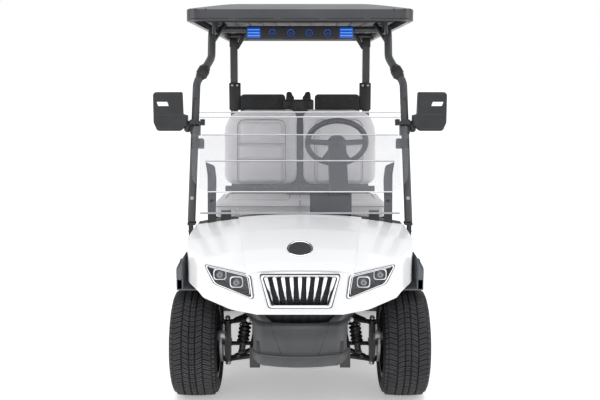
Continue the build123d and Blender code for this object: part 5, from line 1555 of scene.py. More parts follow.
@dataclass
class FrontBumper:
    """The bumper cover with its lip and seams, the flares and the sills.

    Each row of the cover holds its height, its half width and how far forward it stands in the middle.
    """

    rows: tuple[Point, ...] = (
        (0.31, 0.165, 0.455), (0.3075, 0.168, 0.5), (0.311, 0.176, 0.52), (0.322, 0.201, 0.5325),
        (0.336, 0.223, 0.538), (0.35, 0.2285, 0.539), (0.363, 0.227, 0.5365), (0.369, 0.2262, 0.529),
        (0.372, 0.2255, 0.5195), (0.378, 0.2245, 0.5165), (0.4, 0.222, 0.5175), (0.43, 0.2218, 0.52),
        (0.46, 0.224, 0.518), (0.486, 0.2275, 0.508), (0.501, 0.233, 0.495), (0.511, 0.24, 0.475))
    arm_top: float = 0.545
    arm_half: float = 0.268
    rear_y: float = behind(-0.365)

    def build(self) -> None:
        """Makes the bumper and dresses the flares and the sills."""
        self.cover()
        self.seams()
        self.behind_cover()
        self.fenders()
        smooth_copy("rear_flares", "rear_fenders", Finishes.FLARE_GREY, 24.0, 0.0012)
        smooth_copy("rocker_panels", "sills", Finishes.CHARCOAL, 24.0, 0.001)
        self.step_pads()

    @staticmethod
    def sweep(x: float) -> float:
        """Returns how far the cover falls back at a distance from its middle."""
        x = abs(x)
        middle = 0.01 * (min(x, 0.1) / 0.1) ** 2
        flank = 0.3 * max(0.0, min(x, 0.185) - 0.1)
        corner = 14.0 * max(0.0, x - 0.178) ** 2 + 0.55 * max(0.0, x - 0.178)
        return middle + flank + corner

    def skin(self, x: float, row: Point) -> Point:
        """Returns the cover's place on a row."""
        height, _, forward = row
        return x, behind(-forward) + self.sweep(x), height

    def cover(self) -> None:
        """Makes the cover: a bowed sheet with a lip below, its sides turned back and two arms above."""
        shape = Shape()
        shares = [-1.0 + 2.0 * place / 36 for place in range(37)]
        grid = []
        for row in self.rows:
            line = [self.skin(share * row[1], row) for share in shares]
            first, last = line[0], line[-1]
            line = [(first[0], self.rear_y, first[2])] + line + [(last[0], self.rear_y, last[2])]
            grid.append([shape.bm.verts.new(place) for place in line])
        for lower, upper in zip(grid, grid[1:]):
            for k in range(1, len(lower)):
                shape.bm.faces.new((lower[k - 1], lower[k], upper[k], upper[k - 1]))
        top = self.rows[-1]
        for way in (-1, 1):
            foot = [k for k in range(len(grid[-1])) if way * grid[-1][k].co.x > 0.128]
            tips = []
            for k in foot:
                place = grid[-1][k].co
                share = (abs(place.x) - 0.128) / (top[1] - 0.128)
                x = way * (0.168 + share * (self.arm_half - 0.168))
                tips.append(shape.bm.verts.new((x, min(place.y + 0.03 * (1 - share), self.rear_y),
                                                self.arm_top)))
            for k in range(1, len(foot)):
                shape.bm.faces.new((grid[-1][foot[k - 1]], grid[-1][foot[k]], tips[k], tips[k - 1]))
        bmesh.ops.recalc_face_normals(shape.bm, faces=shape.bm.faces)
        bmesh.ops.solidify(shape.bm, geom=shape.bm.faces[:], thickness=0.0035)
        shape.piece("bumper_cover", Finishes.CHARCOAL, angle=28.0, stands_for=("front_bumper",))

    def seams(self) -> None:
        """Makes the two slanting seams of the bumper's face and the dark line over its lip."""
        lines = Shape()
        path = []
        for row in self.rows[8:15]:
            x = 0.088 + (row[0] - 0.372) * (0.131 - 0.088) / (0.495 - 0.372)
            place = Vector(self.skin(x, row))
            path.append((place.x, place.y + 0.0004, place.z))
        lines.hose(path, 0.0013, 8)
        lines.mirrored()
        lip = self.rows[7]
        lines.hose([self.skin(-0.205 + 0.41 * step / 24, lip) for step in range(25)], 0.0015, 8)
        lines.piece("bumper_seams", Finishes.LINER)

    def behind_cover(self) -> None:
        """Makes the dark duct between nose and cover, and trims the beam's ends to the cover's outline."""
        duct = Shape()
        duct.block((0.0, behind(-0.415), 0.508), (0.372, 0.012, 0.118), 0.004)
        for place in range(7):
            duct.block((-0.126 + place * 0.042, behind(-0.424), 0.52), (0.005, 0.012, 0.07), 0.0015, 1)
        duct.piece("nose_duct", Finishes.LINER)
        beam = merged_form("crossmembers")
        for way in (-1, 1):
            beam.cut((way * 0.218, 0.0, 0.0), (way, 0.0, 0.0), behind(-0.15))
            beam.cut((way * 0.17, 0.0, 0.306), (way * 0.5, 0.0, -0.866), behind(-0.15))
        beam.cut((0.0, 0.0, 0.306), (0.0, 0.0, -1.0), behind(-0.15))
        beam.piece("crossmember_beams", Finishes.BLACK_METAL, angle=30.0, stands_for=("crossmembers",))

    def fenders(self) -> None:
        """Makes the front flares: trimmed in front, raised along the body and kept close to it."""
        form = merged_form("front_flares", flat_faces=False)
        bmesh.ops.triangulate(form.bm, faces=form.bm.faces)
        form.cut((0, behind(-0.135), 0), (0, -1, 0))
        inner, keep = 0.5933, 0.55
        raised_from, rise, full_over = 0.6, 0.038, 0.05
        for vert in form.bm.verts:
            side = 1 if vert.co.x > 0 else -1
            if abs(vert.co.x) > inner:
                vert.co.x = side * (inner + (abs(vert.co.x) - inner) * keep)
            if vert.co.z > raised_from and abs(vert.co.x) > inner - 0.001:
                vert.co.z += rise * min(1.0, (vert.co.z - raised_from) / full_over)
        nose = [(0.5925, 0.636), (0.5925, 0.744), (0.6, 0.744), (0.624, 0.7), (0.624, 0.64)]
        form.plate(rounded(nose, 0.012, 4), 0.034, front_plane(behind(-0.108)), 0.007, 3)
        form.plate(rounded([(-u, v) for u, v in nose][::-1], 0.012, 4), 0.034, front_plane(behind(-0.108)),
                   0.007, 3)
        form.piece("front_fenders", Finishes.FLARE_GREY, angle=26.0, stands_for=("front_flares",))
        liner = Shape()
        liner.plate([(0.5925, 0.588), (0.5925, 0.637), (0.62, 0.637), (0.608, 0.588)], 0.022,
                    front_plane(behind(-0.11)), 0.004, 2)
        liner.mirrored().piece("fender_liner_noses", Finishes.LINER)

    def step_pads(self) -> None:
        """Makes the ribbed tread plates on the sills."""
        pads = Shape()
        pads.block((0.578, behind(0.755), 0.3765), (0.052, 0.42, 0.005), 0.002)
        for place in range(24):
            pads.block((0.578, behind(0.56) + place * 0.017, 0.3795), (0.044, 0.0045, 0.003), 0.001, 1)
        pads.mirrored().piece("sill_treads", Finishes.RUBBER)


# ---------------------------------------------------------------- windshield and mirrors
@dataclass
class Windshield:
    """Both clear panes with their screws, seals, clamps and brackets."""

    rake: float = math.radians(17.4)
    pivot_y: float = behind(0.43797)
    pivot_z: float = 1.4025

    def on_pane(self, x: float, up: float, out: float) -> Point:
        """Returns a place near the upper pane.

        Args:
            x: its X.
            up: the distance up the rake from the pivot.
            out: the distance in front of the pane's middle.
        """
        sine, cosine = math.sin(self.rake), math.cos(self.rake)
        return x, self.pivot_y + up * sine - out * cosine, self.pivot_z + up * cosine + out * sine

    def facing(self) -> Vector:
        """Returns the way the panes face."""
        return Vector((0, -math.cos(self.rake), math.sin(self.rake)))

    def build(self) -> None:
        """Makes everything round the two panes."""
        self.upper_pane()
        PAINT.dress_node("windshield_lower", Finishes.ACRYLIC)
        PAINT.dress_node("windshield_hinges", Finishes.BLACK_PLASTIC)
        smooth_copy("windshield_brackets", "strut_clamps", Finishes.BLACK_PLASTIC, 28.0, 0.0012)
        self.screws()
        self.seal()
        self.cut_edges()

    def upper_pane(self) -> None:
        """Makes the turning pane, with its lower corners cut back in a curve."""
        form = merged_form("windshield_upper")
        corner = [(0.5985, -0.288), (0.59, -0.33), (0.56, -0.37), (0.512, -0.3935)]
        for start, end in zip(corner, corner[1:]):
            first = Vector(self.on_pane(start[0], start[1], 0.0))
            second = Vector(self.on_pane(end[0], end[1], 0.0))
            away = (second - first).cross(self.facing())
            if away.x < 0:
                away = -away
            for way in (-1, 1):
                form.cut((way * first.x, first.y, first.z), (way * away.x, away.y, away.z))
        form.piece("upper_pane", Finishes.ACRYLIC, "folding_pane", 30.0, ("windshield_upper",))

    def screws(self) -> None:
        """Makes the screws of the clamps and brackets."""
        shape = Shape()
        out = tuple(self.facing())
        for up in (-0.092 - 0.01, -0.126):
            add_bolt(shape, Bolt.M6, self.on_pane(0.566, up, -0.0095), out)
        add_bolt(shape, Bolt.M6, self.on_pane(0.505, -0.285, -0.009), out)
        add_bolt(shape, Bolt.M6, self.on_pane(0.485, -0.44, -0.009), out)
        shape.mirrored().piece("pane_screws", Finishes.BLACK_METAL)
        turning = Shape()
        for up in (-0.009, 0.009):
            add_bolt(turning, Bolt.M6, self.on_pane(0.54, up, 0.009), out)
        turning.mirrored().piece("hinge_screws", Finishes.BLACK_METAL, "folding_pane")

    def seal(self) -> None:
        """Makes the dark seal between the lower pane and the hood, and the small hinge beside it."""
        shape = Shape()
        reach = 0.548
        low = (0.912 - self.pivot_z) / math.cos(self.rake)
        path = []
        for step in range(25):
            x = -reach + 2 * reach * step / 24
            fall = x * x / (2 * 3.3)
            path.append((x, behind(0.304), 0.9015 - fall))
        shape.hose(path, 0.005, 12)
        shape.piece("hood_seal", Finishes.BLACK_PLASTIC)
        lip = Shape()
        middle = Vector(self.on_pane(0.0, low + 0.004, -0.012))
        lip.block(tuple(middle), (2 * reach, 0.0075, 0.01), 0.002, 2, Matrix.Rotation(-self.rake, 3, "X"))
        # The foot lip is a grey strip along the lower pane's foot: a painted shade line.
        lip.piece("pane_foot_shade_line", Finishes.PANE_SHADE_LINE)
        hinge = Shape()
        x = -0.345
        hinge.block((x, behind(0.312), 0.912), (0.022, 0.012, 0.04), 0.002, 2,
                    Matrix.Rotation(-self.rake, 3, "X"))
        hinge.bar((x - 0.016, behind(0.304), 0.896), (x + 0.016, behind(0.304), 0.896), 0.0045, 16, 0.0008)
        hinge.piece("vent_latch", Finishes.STEEL)

    def cut_edges(self) -> None:
        """Makes bright strips along the panes' polished cut edges, a painted highlight, each with a grey
        strip under it, a painted shade line.
        """
        lean = Matrix.Rotation(-self.rake, 3, "X")
        for name, body, lines in (
                ("upper_pane", "folding_pane",
                 ((-0.3925, 0.508, 0.0), (0.0305, 0.56, 0.0028), (0.0595, 0.56, 0.0))),
                ("lower_pane", "cart", ((-0.0672, 0.545, -0.012), (-0.2158, 0.526, -0.008)))):
            bright = Shape()
            shade = Shape()
            for up, half, out in lines:
                # Each bright strip is a painted highlight; the grey strip under it is a painted shade line.
                bright.block(self.on_pane(0.0, up, out), (2 * half, 0.0056, 0.0042), 0.0008, 1, lean)
                shade.block(self.on_pane(0.0, up - 0.0032, out), (2 * half, 0.005, 0.002), 0.0004, 1, lean)
            bright.piece(f"{name}_edges", Finishes.PANE_EDGE_HIGHLIGHT, body)
            shade.piece(f"{name}_edge_shade_lines", Finishes.PANE_SHADE_LINE, body)


@dataclass
class DoorMirror:
    """Both mirrors: housing, glass, bare marker, knuckle and seams."""

    front: float = behind(0.436)
    rear: float = behind(0.506)

    def build(self) -> None:
        """Makes both mirrors."""
        smooth_copy("mirror_housings", "mirror_shells", Finishes.BLACK_PLASTIC, 32.0, 0.006)
        PAINT.dress_node("mirror_glass", Finishes.MIRROR)
        marker = Shape()
        corners = [(0.729, 1.493), (0.788, 1.493), (0.796, 1.516), (0.737, 1.516)]
        marker.plate(rounded(corners, 0.003, 2), 0.0012, front_plane(self.front - 0.0002), 0.0004, 1)
        marker.mirrored().piece("mirror_markers", Finishes.WHITE_LABEL)
        band = Shape()
        band.block((0.738, self.front - 0.0002, 1.444), (0.146, 0.0016, 0.0022), 0.0006, 1)
        band.block((0.738, self.front - 0.0002, 1.37), (0.112, 0.0016, 0.0018), 0.0006, 1)
        band.mirrored().piece("mirror_seams", Finishes.CHARCOAL)
        knuckle = Shape()
        knuckle.bar((0.631, behind(0.468), 1.352), (0.631, behind(0.468), 1.41), 0.019, 32, 0.003)
        knuckle.bar((0.631, behind(0.468), 1.346), (0.631, behind(0.468), 1.354), 0.012, 24, 0.002)
        knuckle.mirrored().piece("mirror_knuckles", Finishes.BLACK_PLASTIC)
        rim = Shape()
        outline = rounded([(0.668, 1.368), (0.796, 1.368), (0.8085, 1.412), (0.8085, 1.556), (0.668, 1.556)],
                          0.014, 4)
        inner = rounded([(0.674, 1.374), (0.792, 1.374), (0.8025, 1.413), (0.8025, 1.55), (0.674, 1.55)],
                        0.012, 4)
        rim.banded([[(u, y, v) for u, v in line] for y, line in
                    ((self.rear, outline), (self.rear + 0.005, outline), (self.rear + 0.005, inner),
                     (self.rear, inner))])
        rim.mirrored().piece("mirror_rims", Finishes.BLACK_PLASTIC)


# ---------------------------------------------------------------- canopy
@dataclass
class Canopy:
    """The roof with its rim, liner and handles, on its tubes with sleeves and bolts."""

    front: float = behind(0.22)
    rear: float = behind(2.06)
    half: float = 0.603
    lip_low: float = 1.946

    def build(self) -> None:
        """Makes the canopy's pieces."""
        smooth_copy("roof", "roof_shell", Finishes.ROOF, 38.0, 0.003)
        smooth_copy("front_struts", "strut_tubes", Finishes.CANOPY_METAL, 30.0)
        PAINT.dress_node("rear_posts", Finishes.CANOPY_METAL)
        smooth_copy("roof_crossbars", "crossbar_tubes", Finishes.CANOPY_METAL, 30.0)
        smooth_copy("strut_feet", "strut_foot_plates", Finishes.BLACK_PLASTIC, 28.0, 0.0012)
        self.rim_trim()
        self.liner()
        self.handles()
        self.sleeves()
        self.foot_bolts()

    def rim_trim(self) -> None:
        """Makes the dark drip edge, the lip's raised bands and the middle notch's trim."""
        drip = Shape()
        lip = self.half - 0.016
        path_half = [(-lip, self.front + 0.1), (-lip + 0.03, self.front + 0.035),
                     (-lip + 0.1, self.front + 0.014)]
        path = path_half + [(0.0, self.front + 0.013)] + [(-x, y) for x, y in reversed(path_half)]
        drip.hose([(x, y, self.lip_low + 0.002) for x, y in path], 0.0055, 12)
        drip.piece("roof_drip_edge", Finishes.LINER)
        band = Shape()
        for x, width in ((-0.48, 0.2), (-0.24, 0.2), (0.0, 0.2), (0.24, 0.2), (0.48, 0.2)):
            band.block((x * 0.98, self.front - 0.0005, self.lip_low + 0.01), (width, 0.003, 0.0035), 0.001,
                       1)
        band.piece("roof_lip_band", Finishes.LINER)
        caps = Shape()
        for x in (0.548, 0.492):
            caps.block((x, self.front + 0.014, 2.0035), (0.01, 0.04, 0.005), 0.002, 2)
        caps.mirrored().piece("roof_notch_caps", Finishes.LINER)

    def liner(self) -> None:
        """Makes the ribbed liner under the roof."""
        panel = Shape()
        ribs = Shape()
        panel.block((0.0, (self.front + self.rear) / 2 + 0.01, 1.9755), (1.1, 1.72, 0.006), 0.002)
        for place in range(13):
            x = -0.48 + place * 0.08
            ribs.block((x, (self.front + self.rear) / 2 + 0.01, 1.9705), (0.03, 1.62, 0.01), 0.003)
        for y in (self.front + 0.075, self.front + 0.4):
            ribs.block((0.0, y, 1.9665), (1.06, 0.034, 0.014), 0.004)
        panel.piece("roof_liner", Finishes.LINER)
        ribs.piece("roof_liner_ribs", Finishes.LINER)

    def handles(self) -> None:
        """Makes the two grab handles under the roof's front corners."""
        grips = Shape()
        for x in (0.475,):
            top = 1.962
            y = self.front + 0.25
            grips.hose([(x, y, top), (x, y, top - 0.045), (x + 0.004, y + 0.01, top - 0.062),
                        (x + 0.004, y + 0.08, top - 0.066), (x + 0.004, y + 0.15, top - 0.062),
                        (x, y + 0.16, top - 0.045), (x, y + 0.16, top)], 0.0105, 16)
            for end in (y, y + 0.16):
                grips.block((x, end, top + 0.002), (0.03, 0.036, 0.01), 0.003)
        grips.mirrored().piece("grab_handles", Finishes.BLACK_PLASTIC)

    @staticmethod
    def on_strut(x: float, z: float) -> tuple[Vector, Vector]:
        """Returns the strut's middle at a height below its bend, and the way it runs.

        Args:
            x: 1 for the cart's left strut, -1 for its right one.
            z: the height.
        """
        foot = Vector((0.598, behind(0.31), 0.86))
        bend = Vector((0.585, behind(0.548), 1.62))
        neck = Vector((0.503, behind(0.59), 1.762))
        start, end = (foot, bend) if z < 1.58 else (bend, neck)
        place = start.lerp(end, (z - start.z) / (end.z - start.z))
        way = (end - start).normalized()
        return Vector((x * place.x, place.y, place.z)), Vector((x * way.x, way.y, way.z))

    def sleeves(self) -> None:
        """Makes the sleeves on the bent upper struts, the hole plugs and the post brackets."""
        sleeve = Shape()
        for low, high, radius in ((1.648, 1.712, 0.0262), (1.655, 1.667, 0.0285), (1.694, 1.706, 0.0285)):
            first, _ = self.on_strut(1, low)
            second, _ = self.on_strut(1, high)
            sleeve.bar(tuple(first), tuple(second), radius, 40, 0.0015)
        middle, way = self.on_strut(1, 1.68)
        turn = Vector((0, 0, 1)).rotation_difference(way).to_matrix()
        sleeve.block(tuple(middle), (0.06, 0.058, 0.046), 0.004, 2, turn)
        for side in (-0.019, 0.019):
            add_bolt(sleeve, Bolt.M6, tuple(middle + turn @ Vector((side, -0.0285, 0.0))),
                     tuple(turn @ Vector((0, -1, 0))))
        sleeve.mirrored().piece("strut_sleeves", Finishes.BLACK_PLASTIC)
        plug = Shape()
        for z in (1.525,):
            place, way = self.on_strut(1, z)
            out = Vector((0, -1, 0.31)).normalized()
            plug.bar(tuple(place + out * 0.0205), tuple(place + out * 0.0232), 0.0052, 20, 0.0006)
        plug.mirrored().piece("strut_plugs", Finishes.LINER)
        bolts = Shape()
        for x in (0.424, 0.459):
            add_bolt(bolts, Bolt.M6, (x, behind(1.523), 1.598), (0, -1, 0))
        bolts.mirrored().piece("post_bolts", Finishes.STEEL)
        bracket = Shape()
        bracket.block((0.447, behind(1.55), 1.88), (0.056, 0.05, 0.056), 0.004)
        bracket.block((0.4425, behind(1.55), 1.5225), (0.077, 0.054, 0.185), 0.006)
        bracket.block((0.447, behind(1.55), 0.8), (0.082, 0.07, 0.016), 0.003)
        bracket.bar((0.428, behind(1.55), 1.846), (0.352, behind(1.52), 1.962), 0.0135, 24, 0.002)
        bracket.bar((0.497, behind(0.62), 1.85), (0.43, behind(0.66), 1.955), 0.0125, 24, 0.002)
        bracket.mirrored().piece("post_brackets", Finishes.BLACK_METAL)
        ties = Shape()
        for y in (0.72, 1.55, 1.86):
            ties.block((0.4865, behind(y), 1.925), (0.02, 0.058, 0.046), 0.004)
        ties.mirrored().piece("crossbar_sockets", Finishes.BLACK_PLASTIC)

    def foot_bolts(self) -> None:
        """Makes the bright bolts on the strut feet."""
        bolts = Shape()
        place, _ = self.on_strut(1, 0.984)
        out = Vector((0, -1, 0.31)).normalized()
        add_bolt(bolts, Bolt.M8, tuple(place + out * 0.0215), tuple(out))
        for z in (0.77, 0.812):
            add_bolt(bolts, Bolt.M6, (0.61, behind(0.295), z), (1, 0, 0))
        bolts.mirrored().piece("foot_bolts", Finishes.STEEL)


@dataclass
class SoundBar:
    """The bar under the roof with its lit blocks and ringed speakers."""

    front: float = behind(0.606)
    rear: float = behind(0.694)
    half: float = 0.306
    low: float = 1.864
    high: float = 1.94
    middle: float = 1.902

    def build(self) -> None:
        """Makes the bar's pieces."""
        case = Shape()
        depth = self.rear - self.front
        case.block((0.0, self.front + depth / 2, self.middle), (2 * self.half, depth, self.high - self.low),
                   0.01, 4)
        for way in (-1, 1):
            case.block((way * 0.23, self.rear + 0.02, 1.926), (0.03, 0.052, 0.024), 0.003)
        case.piece("sound_bar_case", Finishes.BLACK_PLASTIC, stands_for=("sound_bar",))
        self.grilles()
        self.light_blocks()

    def grilles(self) -> None:
        """Makes the four ringed speakers."""
        rings = Shape()
        cones = Shape()
        rims = Shape()
        for x in (-0.156, -0.052, 0.052, 0.156):
            seat = (x, self.front + 0.001, self.middle)
            rings.ring([(0.0, 0.0175), (0.0045, 0.018), (0.0055, 0.0193), (0.0045, 0.0206), (0.0, 0.021)],
                       seat,
                       (0, -1, 0), 48)
            rims.ring([(0.0, 0.0212), (0.003, 0.0218), (0.003, 0.0236), (0.0, 0.0242)], seat, (0, -1, 0), 48)
            cones.ring([(0.0, 0.0178), (0.0018, 0.0175), (0.0006, 0.011), (0.0012, 0.008), (0.0034, 0.0052),
                        (0.004, 0.0)], seat, (0, -1, 0), 40, closed=False)
        rings.piece("speaker_rings", Finishes.BLUE_GLOW)
        # The cones' glow is painted light from the lit rings.
        cones.piece("speaker_cones", Finishes.DEEP_BLUE)
        rims.piece("speaker_rims", Finishes.LINER)
        mesh = Shape()
        for row in range(7):
            mesh.block((0.0, self.front + 0.0005, self.low + 0.014 + row * 0.0082), (0.43, 0.002, 0.0028),
                       0.0007, 1)
        mesh.piece("speaker_mesh", Finishes.LINER)

    def light_blocks(self) -> None:
        """Makes the blue block at each end with its three light stripes."""
        block = Shape()
        block.block((0.263, self.front + 0.001, self.middle), (0.076, 0.008, 0.06), 0.003)
        block.mirrored().piece("light_blocks", Finishes.BLUE_GLOW)
        stripes = Shape()
        for row in (-1, 0, 1):
            stripes.block((0.263, self.front - 0.0032, self.middle + row * 0.0165), (0.068, 0.002, 0.0046),
                          0.0007, 1)
        stripes.mirrored().piece("light_stripes", Finishes.SKY_GLOW)


# ---------------------------------------------------------------- seats
@dataclass
class PadBlank:
    """A soft block in its own frame, before it is stuffed."""

    outline: list[tuple[float, float]]
    thick: float
    plane: Matrix
    bevel: float = 0.018

    def mesh(self, name: str, inset: float) -> bpy.types.Mesh:
        """Returns the block's mesh.

        Args:
            name: the mesh's name.
            inset: how much smaller than the outline it is, for the swelling.
        """
        middle = Vector((sum(u for u, _ in self.outline) / len(self.outline),
                         sum(v for _, v in self.outline) / len(self.outline)))
        corners = []
        for u, v in self.outline:
            away = Vector((u, v)) - middle
            corners.append(tuple(middle + away * (1 - inset / away.length)))
        shape = Shape()
        shape.plate(corners, self.thick - inset, self.plane, self.bevel, 3)
        bmesh.ops.recalc_face_normals(shape.bm, faces=shape.bm.faces)
        mesh = bpy.data.meshes.new(name)
        shape.bm.to_mesh(mesh)
        shape.bm.free()
        return mesh


@dataclass
class Upholstery:
    """Stuffs a blank: voxels, a pressure run, a cap on the movement and one subdivision."""

    voxel: float = 0.007
    pressure: float = 4.0
    cap: float = 0.008
    frames: int = 20

    def stuff(self, name: str, blank: bpy.types.Mesh, finish: Finishes, body: str,
              stands_for: tuple[str, ...] = (),
              floor: tuple[Vector, Vector] | None = None) -> bpy.types.Object:
        """Returns the stuffed pad.

        Args:
            name: the piece's name.
            blank: its mesh before stuffing.
            finish: what it is covered with.
            body: the CAD body that it rides on.
            stands_for: CAD nodes that it replaces.
            floor: a point and a direction of a plane that the pad doesn't cross.
        """
        pad = bpy.data.objects.new(name, blank)
        bpy.context.scene.collection.objects.link(pad)
        remesh = pad.modifiers.new("even", "REMESH")
        remesh.mode = "VOXEL"
        remesh.voxel_size = self.voxel
        self.apply(pad)
        rest = [v.co.copy() for v in pad.data.vertices]
        self.blow(pad)
        for vertex, start in zip(pad.data.vertices, rest):
            moved = vertex.co - start
            if moved.length > self.cap:
                moved = moved.normalized() * self.cap
            place = start + moved
            if floor is not None:
                depth = (place - floor[0]).dot(floor[1])
                if depth < 0:
                    place -= floor[1] * depth
            vertex.co = place
        smooth = pad.modifiers.new("finer", "SUBSURF")
        smooth.levels = smooth.render_levels = 1
        self.apply(pad)
        mesh = pad.data.copy()
        bpy.data.objects.remove(pad)
        made = as_piece(name, mesh, finish, body, 180.0, stands_for)
        return made

    def blow(self, pad: bpy.types.Object) -> None:
        """Runs the pressure and keeps its last frame.

        Args:
            pad: the remeshed pad.
        """
        cloth = pad.modifiers.new("air", "CLOTH")
        settings = cloth.settings
        settings.quality = 4
        settings.mass = 0.3
        settings.tension_stiffness = settings.compression_stiffness = 18.0
        settings.shear_stiffness = 8.0
        settings.bending_stiffness = 2.5
        settings.use_pressure = True
        settings.uniform_pressure_force = self.pressure
        settings.effector_weights.gravity = 0.0
        cloth.collision_settings.use_collision = False
        cloth.collision_settings.use_self_collision = False
        cloth.point_cache.frame_start = 1
        cloth.point_cache.frame_end = self.frames
        scene = bpy.context.scene
        for step in range(1, self.frames + 1):
            scene.frame_set(step)
        self.apply(pad)
        scene.frame_set(1)

    @staticmethod
    def apply(pad: bpy.types.Object) -> None:
        """Makes the modifiers' result the pad's own mesh.

        Args:
            pad: the object.
        """
        bpy.context.view_layer.update()
        graph = bpy.context.evaluated_depsgraph_get()
        result = bpy.data.meshes.new_from_object(pad.evaluated_get(graph))
        old = pad.data
        pad.modifiers.clear()
        pad.data = result
        bpy.data.meshes.remove(old)


@dataclass
class FrontSeats:
    """The front bench with its two backs, their inserts, seams, shell, panels and belts."""

    reclined: float = math.radians(9.8)
    back_y: float = behind(1.31)
    back_z: float = 0.935
    bench_top: float = 0.905

    def back_point(self, x: float, up: float, out: float) -> Point:
        """Returns a place on a seat back.

        Args:
            x: its X.
            up: the distance up the back from its foot.
            out: the distance in front of its face.
        """
        sine, cosine = math.sin(self.reclined), math.cos(self.reclined)
        return x, self.back_y + up * sine - out * cosine, self.back_z + up * cosine + out * sine

    def back_plane(self, out: float) -> Matrix:
        """Returns the plane of a seat back's face, moved out, whose third axis points rearwards."""
        sine, cosine = math.sin(self.reclined), math.cos(self.reclined)
        made = Matrix(((1, 0, 0), (0, sine, cosine), (0, cosine, -sine))).to_4x4()
        made.translation = Vector(self.back_point(0.0, 0.0, out))
        return made

    def build(self) -> None:
        """Makes the seats."""
        self.backs()
        self.bench()
        self.seams()
        self.shell()
        self.belts()

    def half_outline(self, low: float, high: float, x_in: float, x_out: float,
                     radius: float) -> list[tuple[float, float]]:
        """Returns one back's rounded outline in the back's own plane."""
        return rounded([(x_in, low), (x_out, low), (x_out, high), (x_in, high)], radius, 6)

    @staticmethod
    def back_outline() -> list[tuple[float, float]]:
        """Returns one back's outline, with a broad round shoulder on its outer side."""
        return rounded([(0.014, 0.01), (0.511, 0.01), (0.513, 0.4), (0.468, 0.49), (0.38, 0.523),
                        (0.05, 0.523), (0.014, 0.48)], 0.08, 5)

    def backs(self) -> None:
        """Stuffs both backs and their raised inserts."""
        work = Upholstery(voxel=0.0085, cap=0.007)
        for hand, way in (("left", 1), ("right", -1)):
            outline = [(way * u, v) for u, v in self.back_outline()]
            blank = PadBlank(outline if way > 0 else outline[::-1], 0.098, self.back_plane(-0.008), 0.024)
            work.stuff(f"seat_back_{hand}", blank.mesh("blank", 0.002), Finishes.SEAT, "cart",
                       ("seat_backs",),
                       (Vector(self.back_point(0, 0, -0.1045)), Vector(self.facing_back()) * -1.0))
        insert = Upholstery(voxel=0.0065, cap=0.005)
        for hand, way in (("left", 1), ("right", -1)):
            for place, (low, high, x_in, x_out, radius) in enumerate(self.insert_outlines()):
                outline = [(way * u, v) for u, v in self.half_outline(low, high, x_in, x_out, radius)]
                blank = PadBlank(outline if way > 0 else outline[::-1], 0.02, self.back_plane(0.0035), 0.007)
                insert.stuff(f"back_insert_{hand}_{place}", blank.mesh("blank", 0.001), Finishes.SEAT_INSERT,
                             "cart")

    @staticmethod
    def insert_outlines() -> list[tuple[float, float, float, float, float]]:
        """Returns each back insert as (low, high, inner X, outer X, corner)."""
        return [(0.284, 0.434, 0.106, 0.406, 0.052), (0.182, 0.278, 0.104, 0.41, 0.014),
                (0.026, 0.174, 0.104, 0.41, 0.026)]

    def facing_back(self) -> Point:
        """Returns the rearward normal of the backs."""
        return 0.0, math.cos(self.reclined), -math.sin(self.reclined)

    def bench(self) -> None:
        """Stuffs the bench and its inserts."""
        top = self.bench_top
        outline = [(behind(0.846), 0.8), (behind(0.846), 0.872), (behind(0.866), top - 0.012),
                   (behind(0.9), top - 0.006), (behind(1.262), top - 0.02), (behind(1.27), 0.8)]
        plane = Matrix(((0, 0, 1), (1, 0, 0), (0, 1, 0))).to_4x4()
        plane.translation = Vector((-0.525, 0, 0))
        blank = PadBlank(rounded(outline, 0.018, 4), 1.05, plane, 0.014)
        Upholstery(voxel=0.011, cap=0.006).stuff(
            "bench_pad", blank.mesh("blank", 0.001), Finishes.SEAT, "front_bench", ("bench_cushion",),
            (Vector((0, 0, 0.7905)), Vector((0, 0, 1))))
        insert = Upholstery(voxel=0.0075, cap=0.004)
        for hand, way in (("left", 1), ("right", -1)):
            low, high = behind(0.905), behind(1.225)
            corners = rounded([(0.07, low), (0.46, low), (0.46, high), (0.07, high)], 0.04, 6)
            outline = [(way * u, v) for u, v in corners]
            seat = Matrix.Identity(4)
            seat.translation = Vector((0, 0, top - 0.026))
            blank = PadBlank(outline if way > 0 else outline[::-1], 0.02, seat, 0.006)
            insert.stuff(f"bench_insert_{hand}", blank.mesh("blank", 0.001), Finishes.SEAT_INSERT,
                         "front_bench")

    def seams(self) -> None:
        """Makes the piping round the inserts, the centre seam and the bench's front welt."""
        shape = Shape()
        for way in (1, -1):
            corners = self.half_outline(0.018, 0.442, 0.097, 0.416, 0.056)
            corners = [corners[k % len(corners)] for k in range(len(corners) + 1)]
            shape.hose([self.back_point(way * u, v, 0.0085) for u, v in corners], 0.0036, 8)
            for level in (0.178, 0.281):
                shape.hose([self.back_point(way * (0.1 + 0.312 * k / 8), level, 0.0105) for k in range(9)],
                           0.0032, 8)
        shape.piece("back_piping", Finishes.PIPING)
        bench = Shape()
        top = self.bench_top
        for way in (1, -1):
            low, high = behind(0.9), behind(1.23)
            corners = rounded([(0.065, low), (0.465, low), (0.465, high), (0.065, high)], 0.042, 6)
            corners = [corners[k % len(corners)] for k in range(len(corners) + 1)]
            bench.hose([(way * u, v, top - 0.0052) for u, v in corners], 0.0034, 8)
        bench.hose([(-0.522 + 1.044 * k / 20, behind(0.8425), 0.868) for k in range(21)], 0.0032, 8)
        bench.hose([(0.0, behind(0.842), 0.806), (0.0, behind(0.8415), 0.862), (0.0, behind(0.856), 0.89),
                    (0.0, behind(0.89), 0.901), (0.0, behind(1.23), 0.893)], 0.0034, 8)
        bench.piece("bench_piping", Finishes.PIPING, "front_bench")

